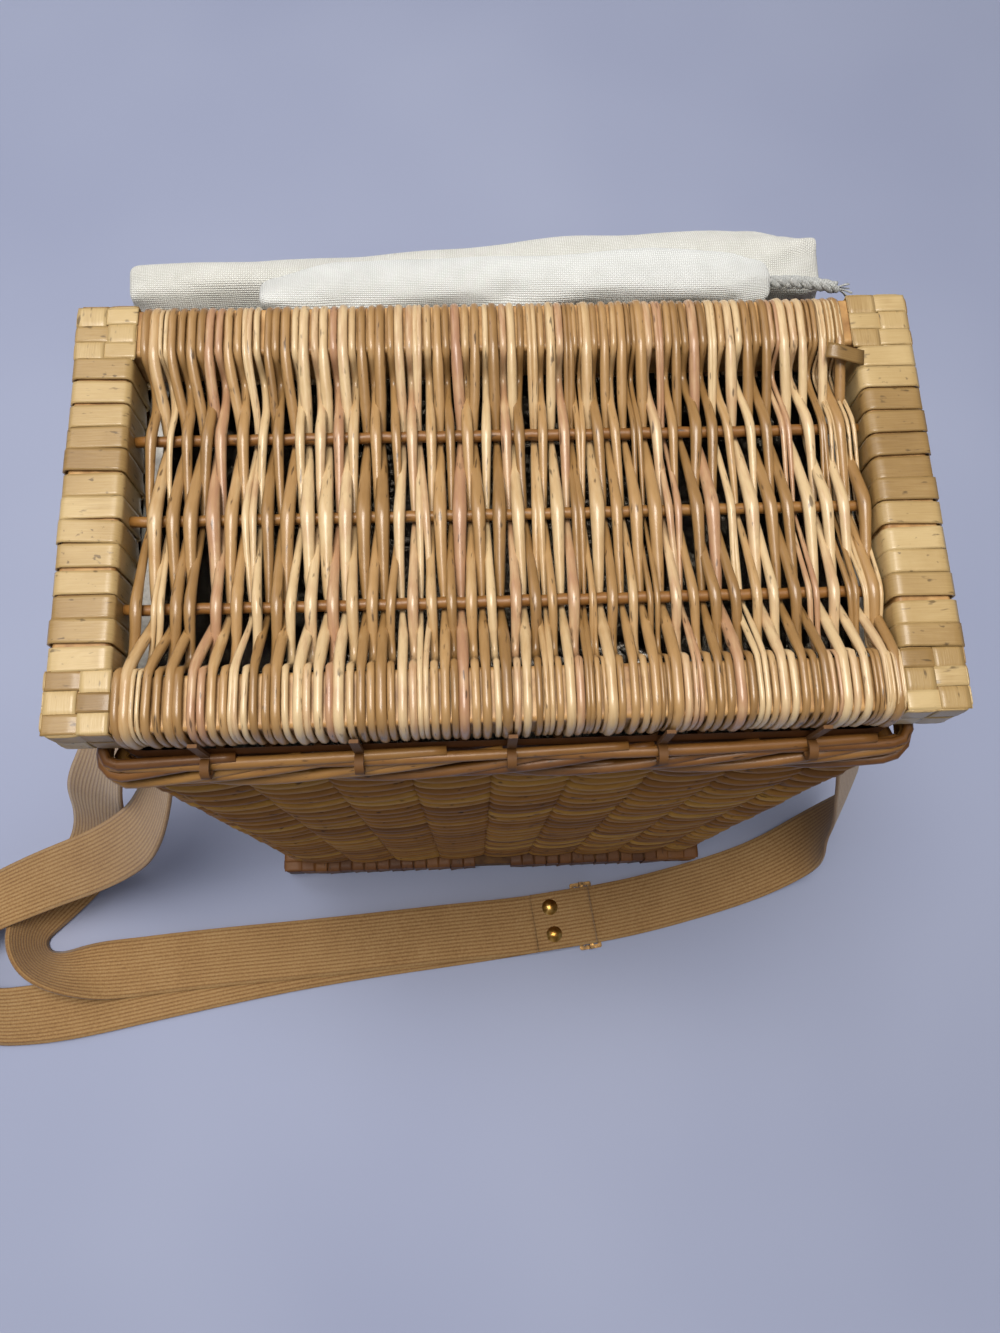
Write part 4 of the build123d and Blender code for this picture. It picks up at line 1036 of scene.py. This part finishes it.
skirt_half = 118
profile = [(71.4, 383.8), (71.4, 385.7), (77.4, 385.7), (79.6, 386.9), (84, 387.15), (88.2, 387.0)]
skirt = strip_sheet("liner_skirt_canvas", profile, skirt_half, 0.8, 0.2)
place(skirt, canvas_coarse, "basket", "canvas", "liner_skirt")

xs = np.linspace(-skirt_half, skirt_half, 150)
hem_line = np.column_stack([xs, 80.4 + 0.25 * np.sin(xs / 11), 389.0 + 0.25 * np.sin(xs / 7 + 1)])
hem = gather("skirt_hem_canvas", [tube(hem_line, 1.25 + 0.12 * np.sin(xs / 2.4), 10, 0.9, (0, 0, 1))], [0.5])
place(hem, canvas_fine, "basket", "canvas", "skirt_hem")

# The drawcord's end: three strands twisted round each other, which fray at the tip
pieces = []
strand, twist = 1.25, 1.15
for k in range(3):
    xs = np.linspace(102.5, 129, 70)
    a = xs / 1.9 + k * 2 * np.pi / 3
    sag = np.clip((xs - 108) / 21, 0, 1) ** 2
    line = np.column_stack([xs, 93.4 - 1.5 * sag + twist * np.cos(a), 392.9 - 2.2 * sag + twist * np.sin(a)])
    pieces.append(tube(line, strand, 8, 1.0, (0, 0, 1)))
for k in range(9):
    a = rng.uniform(0, 6.28)
    line = [(128.5, 91.9, 390.7), (131.5, 91.9 + 1.4 * math.cos(a), 390.4 + 1.2 * math.sin(a))]
    line.append((134 + rng.uniform(-1, 1), 91.5 + 2.6 * math.cos(a), 389.8 + 2.0 * math.sin(a)))
    pieces.append(tube(spaced(soften(line, 2), 9), 0.28, 5, 1.0, (0, 0, 1)))
drawcord = gather("drawcord_end_twist", pieces, [0.5] * len(pieces))
place(drawcord, canvas_fine, "basket", "canvas", "drawcord_end")


# %% [markdown]
# ## Strap
# The strap is one length of cotton webbing, 38 mm wide. It comes down from a loop high on one end wall,
# lies along the floor, is doubled at a slider, and goes back up to the loop on the other end wall.
# Webbing is stiff across and soft along, so it is a band whose width direction is given at each point
# of the route: flat on the floor, upright in the loops, and eased between. The points are the ones
# that the solids' splines have.

# %% Ribbons
webbing_half, webbing_thick = 19.0, 1.9


def spline_points(name, points):
    """Points along a third-order spline that has these control points, ends included, in millimetres."""
    curve = bpy.data.curves.new(name, "CURVE")
    curve.dimensions = "3D"
    curve.resolution_u = 10
    spline = curve.splines.new("NURBS")
    spline.points.add(len(points) - 1)
    for point, spot in zip(spline.points, points):
        point.co = (*(np.array(spot) * mm), 1)
    spline.order_u = 3
    spline.use_endpoint_u = True
    obj = bpy.data.objects.new(name, curve)
    bpy.context.scene.collection.objects.link(obj)
    mesh = bpy.data.meshes.new_from_object(obj)
    co = np.empty(len(mesh.vertices) * 3)
    mesh.vertices.foreach_get("co", co)
    bpy.data.objects.remove(obj)
    return co.reshape(-1, 3) / mm


def webbing_run(name, points, sides, node, length):
    """A ribbon along a spline. Its width direction is read off between the points and averaged 30 times."""
    line = spaced(spline_points(name + "_line", points), int(length / 2.5))
    marks = run_along(np.array(points, float))
    marks = marks / marks[-1]
    t = np.linspace(0, 1, len(line))
    across = np.column_stack([np.interp(t, marks, np.array(sides, float)[:, k]) for k in range(3)])
    for _ in range(30):
        across[1:-1] = (across[:-2] + across[1:-1] * 2 + across[2:]) / 4
    verts, faces, uv = band(line, across, webbing_half, webbing_thick, 0.12, 12)
    obj = build_mesh(name, verts, faces, np.full(len(verts), 0.5), uv)
    place(obj, webbing, "basket", "webbing", node)
    return obj


# %% The slider's place and the folded ends
# The slider is turned by 7 degrees, and two runs of the strap end at its bar
slider_turn = math.radians(7.0)
u = np.array([math.cos(slider_turn), math.sin(slider_turn), 0])
v = np.array([-u[1], u[0], 0])
bar = np.array([63.0, -121.7, 0])
flat, flat_back = tuple(v), tuple(-v)


def along(distance, level):
    """A point beside the slider's bar, distance along the strap and level above the floor."""
    return tuple(bar + u * distance + np.array([0, 0, level]))


def folded(node, points, across):
    """A short piece of webbing folded over a bar, from the points of its middle line."""
    line = spaced(soften(points, 3), 60)
    verts, faces, uv = band(line, across, webbing_half, webbing_thick, 0.1, 12)
    obj = build_mesh(node + "_webbing", verts, faces, np.full(len(verts), 0.5), uv)
    return place(obj, webbing, "basket", "webbing", node)


loop_top = 352.6
for side, leg, node in ((1, 34.0, "strap_fold_right"), (-1, 18.0, "strap_fold_left")):
    outline = [(136.05, -leg), (136.05, 0), (136.1, 2.3), (139.8, 2.3), (139.85, 0), (139.85, -18)]
    folded(node, [(side * x, 0, loop_top + z) for x, z in outline], (0, 1, 0))
points = [along(-36, 5.5), along(0, 5.5), along(3.6, 5.5), along(3.6, 8.9), along(0, 8.9), along(-36, 8.9)]
slider_fold = folded("strap_fold_slider", points, v)

# %% The three runs
webbing_run(
    "strap_right_webbing",
    [
        (139.85, 0, 334.5), (139.85, 0, 305), (176, -28, 225), (206, -55, 140), (224, -66, 70),
        (213, -82, 14), (176, -98, 1.2), (118, -112.5, 1.2), along(16, 2.7), along(0.05, 2.7),
    ],
    [
        (0, 1, 0), (0, 1, 0), (0.2, 1, 0.1), (0.45, 0.9, 0.2), (0.5, 0.85, 0),
        (-0.2, 1, 0), flat, flat, flat, flat,
    ],
    node="strap_right",
    length=501,
)
webbing_run(
    "strap_under_webbing",
    [
        (-136.05, 0, 334.5), (-136.05, 0, 314.5), (-148, -14, 262), (-190, -66, 145), (-234, -78, 84),
        (-292, -89, 44), (-342, -107, 31), (-374, -140, 17), (-345, -174, 12), (-289, -172, 2.4),
        (-215, -158, 1.2), (-120, -142, 1.2), (-10, -131, 1.2), along(-16, 2.7), along(-0.05, 2.7),
    ],
    [
        (0, -1, 0), (0, -1, 0), (0.1, -1, 0), (0.3, -0.95, 0), (0.35, -0.93, 0),
        (0.4, -0.9, 0), (0.6, -0.7, 0.3), (0.8, 0, 0.6), (0.3, 0.9, 0.4), (0, 1, 0),
        (0.1, 1, 0), flat, flat, flat, flat,
    ],
    node="strap_under",
    length=905,
)
webbing_run(
    "strap_over_webbing",
    [
        (-139.85, 0, 334.5), (-139.85, 0, 314.5), (-168, -8, 275), (-218, -38, 155), (-246, -43, 88),
        (-259, -56, 38), (-276, -76, 7.5), (-298, -100, 14), (-312, -125, 20.5), (-296, -147, 19),
        (-255, -146, 4.2), (-200, -141, 3.6), (-110, -136, 3.6), (-30, -130, 4.2), along(-48.1, 8.9),
        along(-36.1, 8.9),
    ],
    [
        (0, 1, 0), (0, 1, 0), (-0.1, 1, 0), (-0.6, 0.8, 0), (-0.9, 0.4, 0),
        (-0.85, 0.5, 0), (-0.68, 0.68, 0.1), (-0.5, 0.5, 0.5), (-0.3, 0, 0.95), (-0.1, -0.5, 0.85),
        (0, -1, 0), (-0.1, -1, 0), (-0.05, -1, 0), flat_back, flat_back,
        flat_back,
    ],
    node="strap_over",
    length=776,
)

# %% [markdown]
# ## The nodes that stay
# Battens, nails, stakes, floor, foam and fittings are plain solids already. Most of them hide under
# the willow, and the fittings are as round as they need to be, so they only get a finish.

# %% Finishes of the nodes that stay
kept = {
    "wall_stakes": willow_wall, "corner_stakes": willow_wall, "floor_panel": willow_wall,
    "liner_foam": foam, "hinge_loops": loop_skein, "base_slat": dark_wood,
    "strap_slider": dark_wire, "strap_rivets": aged_brass, "strap_loop_left": aged_brass,
    "strap_loop_right": aged_brass, "strap_loop_rivets": aged_brass,
    "lid_frame_nails": nail_steel, "base_frame_nails": nail_steel, "slat_nails": nail_steel,
}
for word in ("front", "back", "left", "right"):
    kept[f"lid_batten_{word}"] = sawn_wood
    kept[f"base_batten_{word}"] = dark_wood
for name, material in kept.items():
    coat(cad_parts[name], material)
print("nodes that stay", len(kept))

# %% [markdown]
# ## Stage, light and camera
# A plain pale floor and three soft lights: one overhead, a weak one from the far left and a weaker
# one in front. The camera stands over the near side of the lid and looks down. Its lens comes from the
# focal length in pixels that the vanishing points of the lid's and walls' edges gave.

# %% Floor
floor_stops = [(0.3, "9da6c3"), (0.7, "a7b0cb")]
floor_paint = mottled("floor_paint", roughness=0.8, scale=3.0, detail=2.0, stops=floor_stops)
floor_half = 3000
floor_corners = [(sx * floor_half, sy * floor_half, 0) for sx, sy in ((-1, -1), (1, -1), (1, 1), (-1, 1))]
floor = build_mesh("floor", floor_corners, [(0, 1, 2, 3)], smooth=False)
# A little low, so that it shares no plane with what stands on it
floor.location.z = -0.0004
floor.data.materials.append(floor_paint)


# %% Lights
def area_light(name, spot, target, size, power, tone):
    """A square soft light at a point, turned to a target, in metres and watts."""
    data = bpy.data.lights.new(name, "AREA")
    data.shape = "SQUARE"
    data.size, data.energy, data.color = size, power, colour(tone)[:3]
    obj = bpy.data.objects.new(name, data)
    bpy.context.scene.collection.objects.link(obj)
    obj.location = spot
    way = np.array(target) - np.array(spot)
    way = way / np.linalg.norm(way)
    obj.rotation_euler = (math.acos(-way[2]), 0, math.atan2(way[1], way[0]) - math.pi / 2)
    return obj


area_light("key", (-0.15, 0.08, 2.0), (0, 0, 0.3), 0.85, 34, "fff8f0")
area_light("fill", (-1.3, 0.9, 1.6), (0, 0, 0.2), 1.2, 7, "f4f6ff")
area_light("front", (-0.4, -1.8, 1.2), (0, 0, 0.2), 1.6, 2, "ffffff")
world = bpy.data.worlds.new("studio")
bpy.context.scene.world = world
world.use_nodes = True
world.node_tree.nodes["Background"].inputs["Color"].default_value = colour("dfe3ee")
world.node_tree.nodes["Background"].inputs["Strength"].default_value = 0.22
bpy.context.scene.view_settings.view_transform = "Standard"

# %% Camera
sensor = 36.0
focal_pixels, photo_height = 1001, 1333
camera = bpy.data.cameras.new("camera")
camera.sensor_width = sensor
camera.sensor_fit = "AUTO"
camera.lens = focal_pixels / photo_height * sensor
camera.clip_start = 0.01
view = bpy.data.objects.new("camera", camera)
bpy.context.scene.collection.objects.link(view)
view.location = (-0.01407, -0.14328, 0.71059)
heading, tilt, roll = (math.radians(a) for a in (-6.964, 15.982, 5.090))
turned = Matrix.Rotation(heading, 3, "Z") @ Matrix.Rotation(tilt, 3, "X") @ Matrix.Rotation(roll, 3, "Z")
view.rotation_euler = turned.to_euler()
bpy.context.scene.camera = view
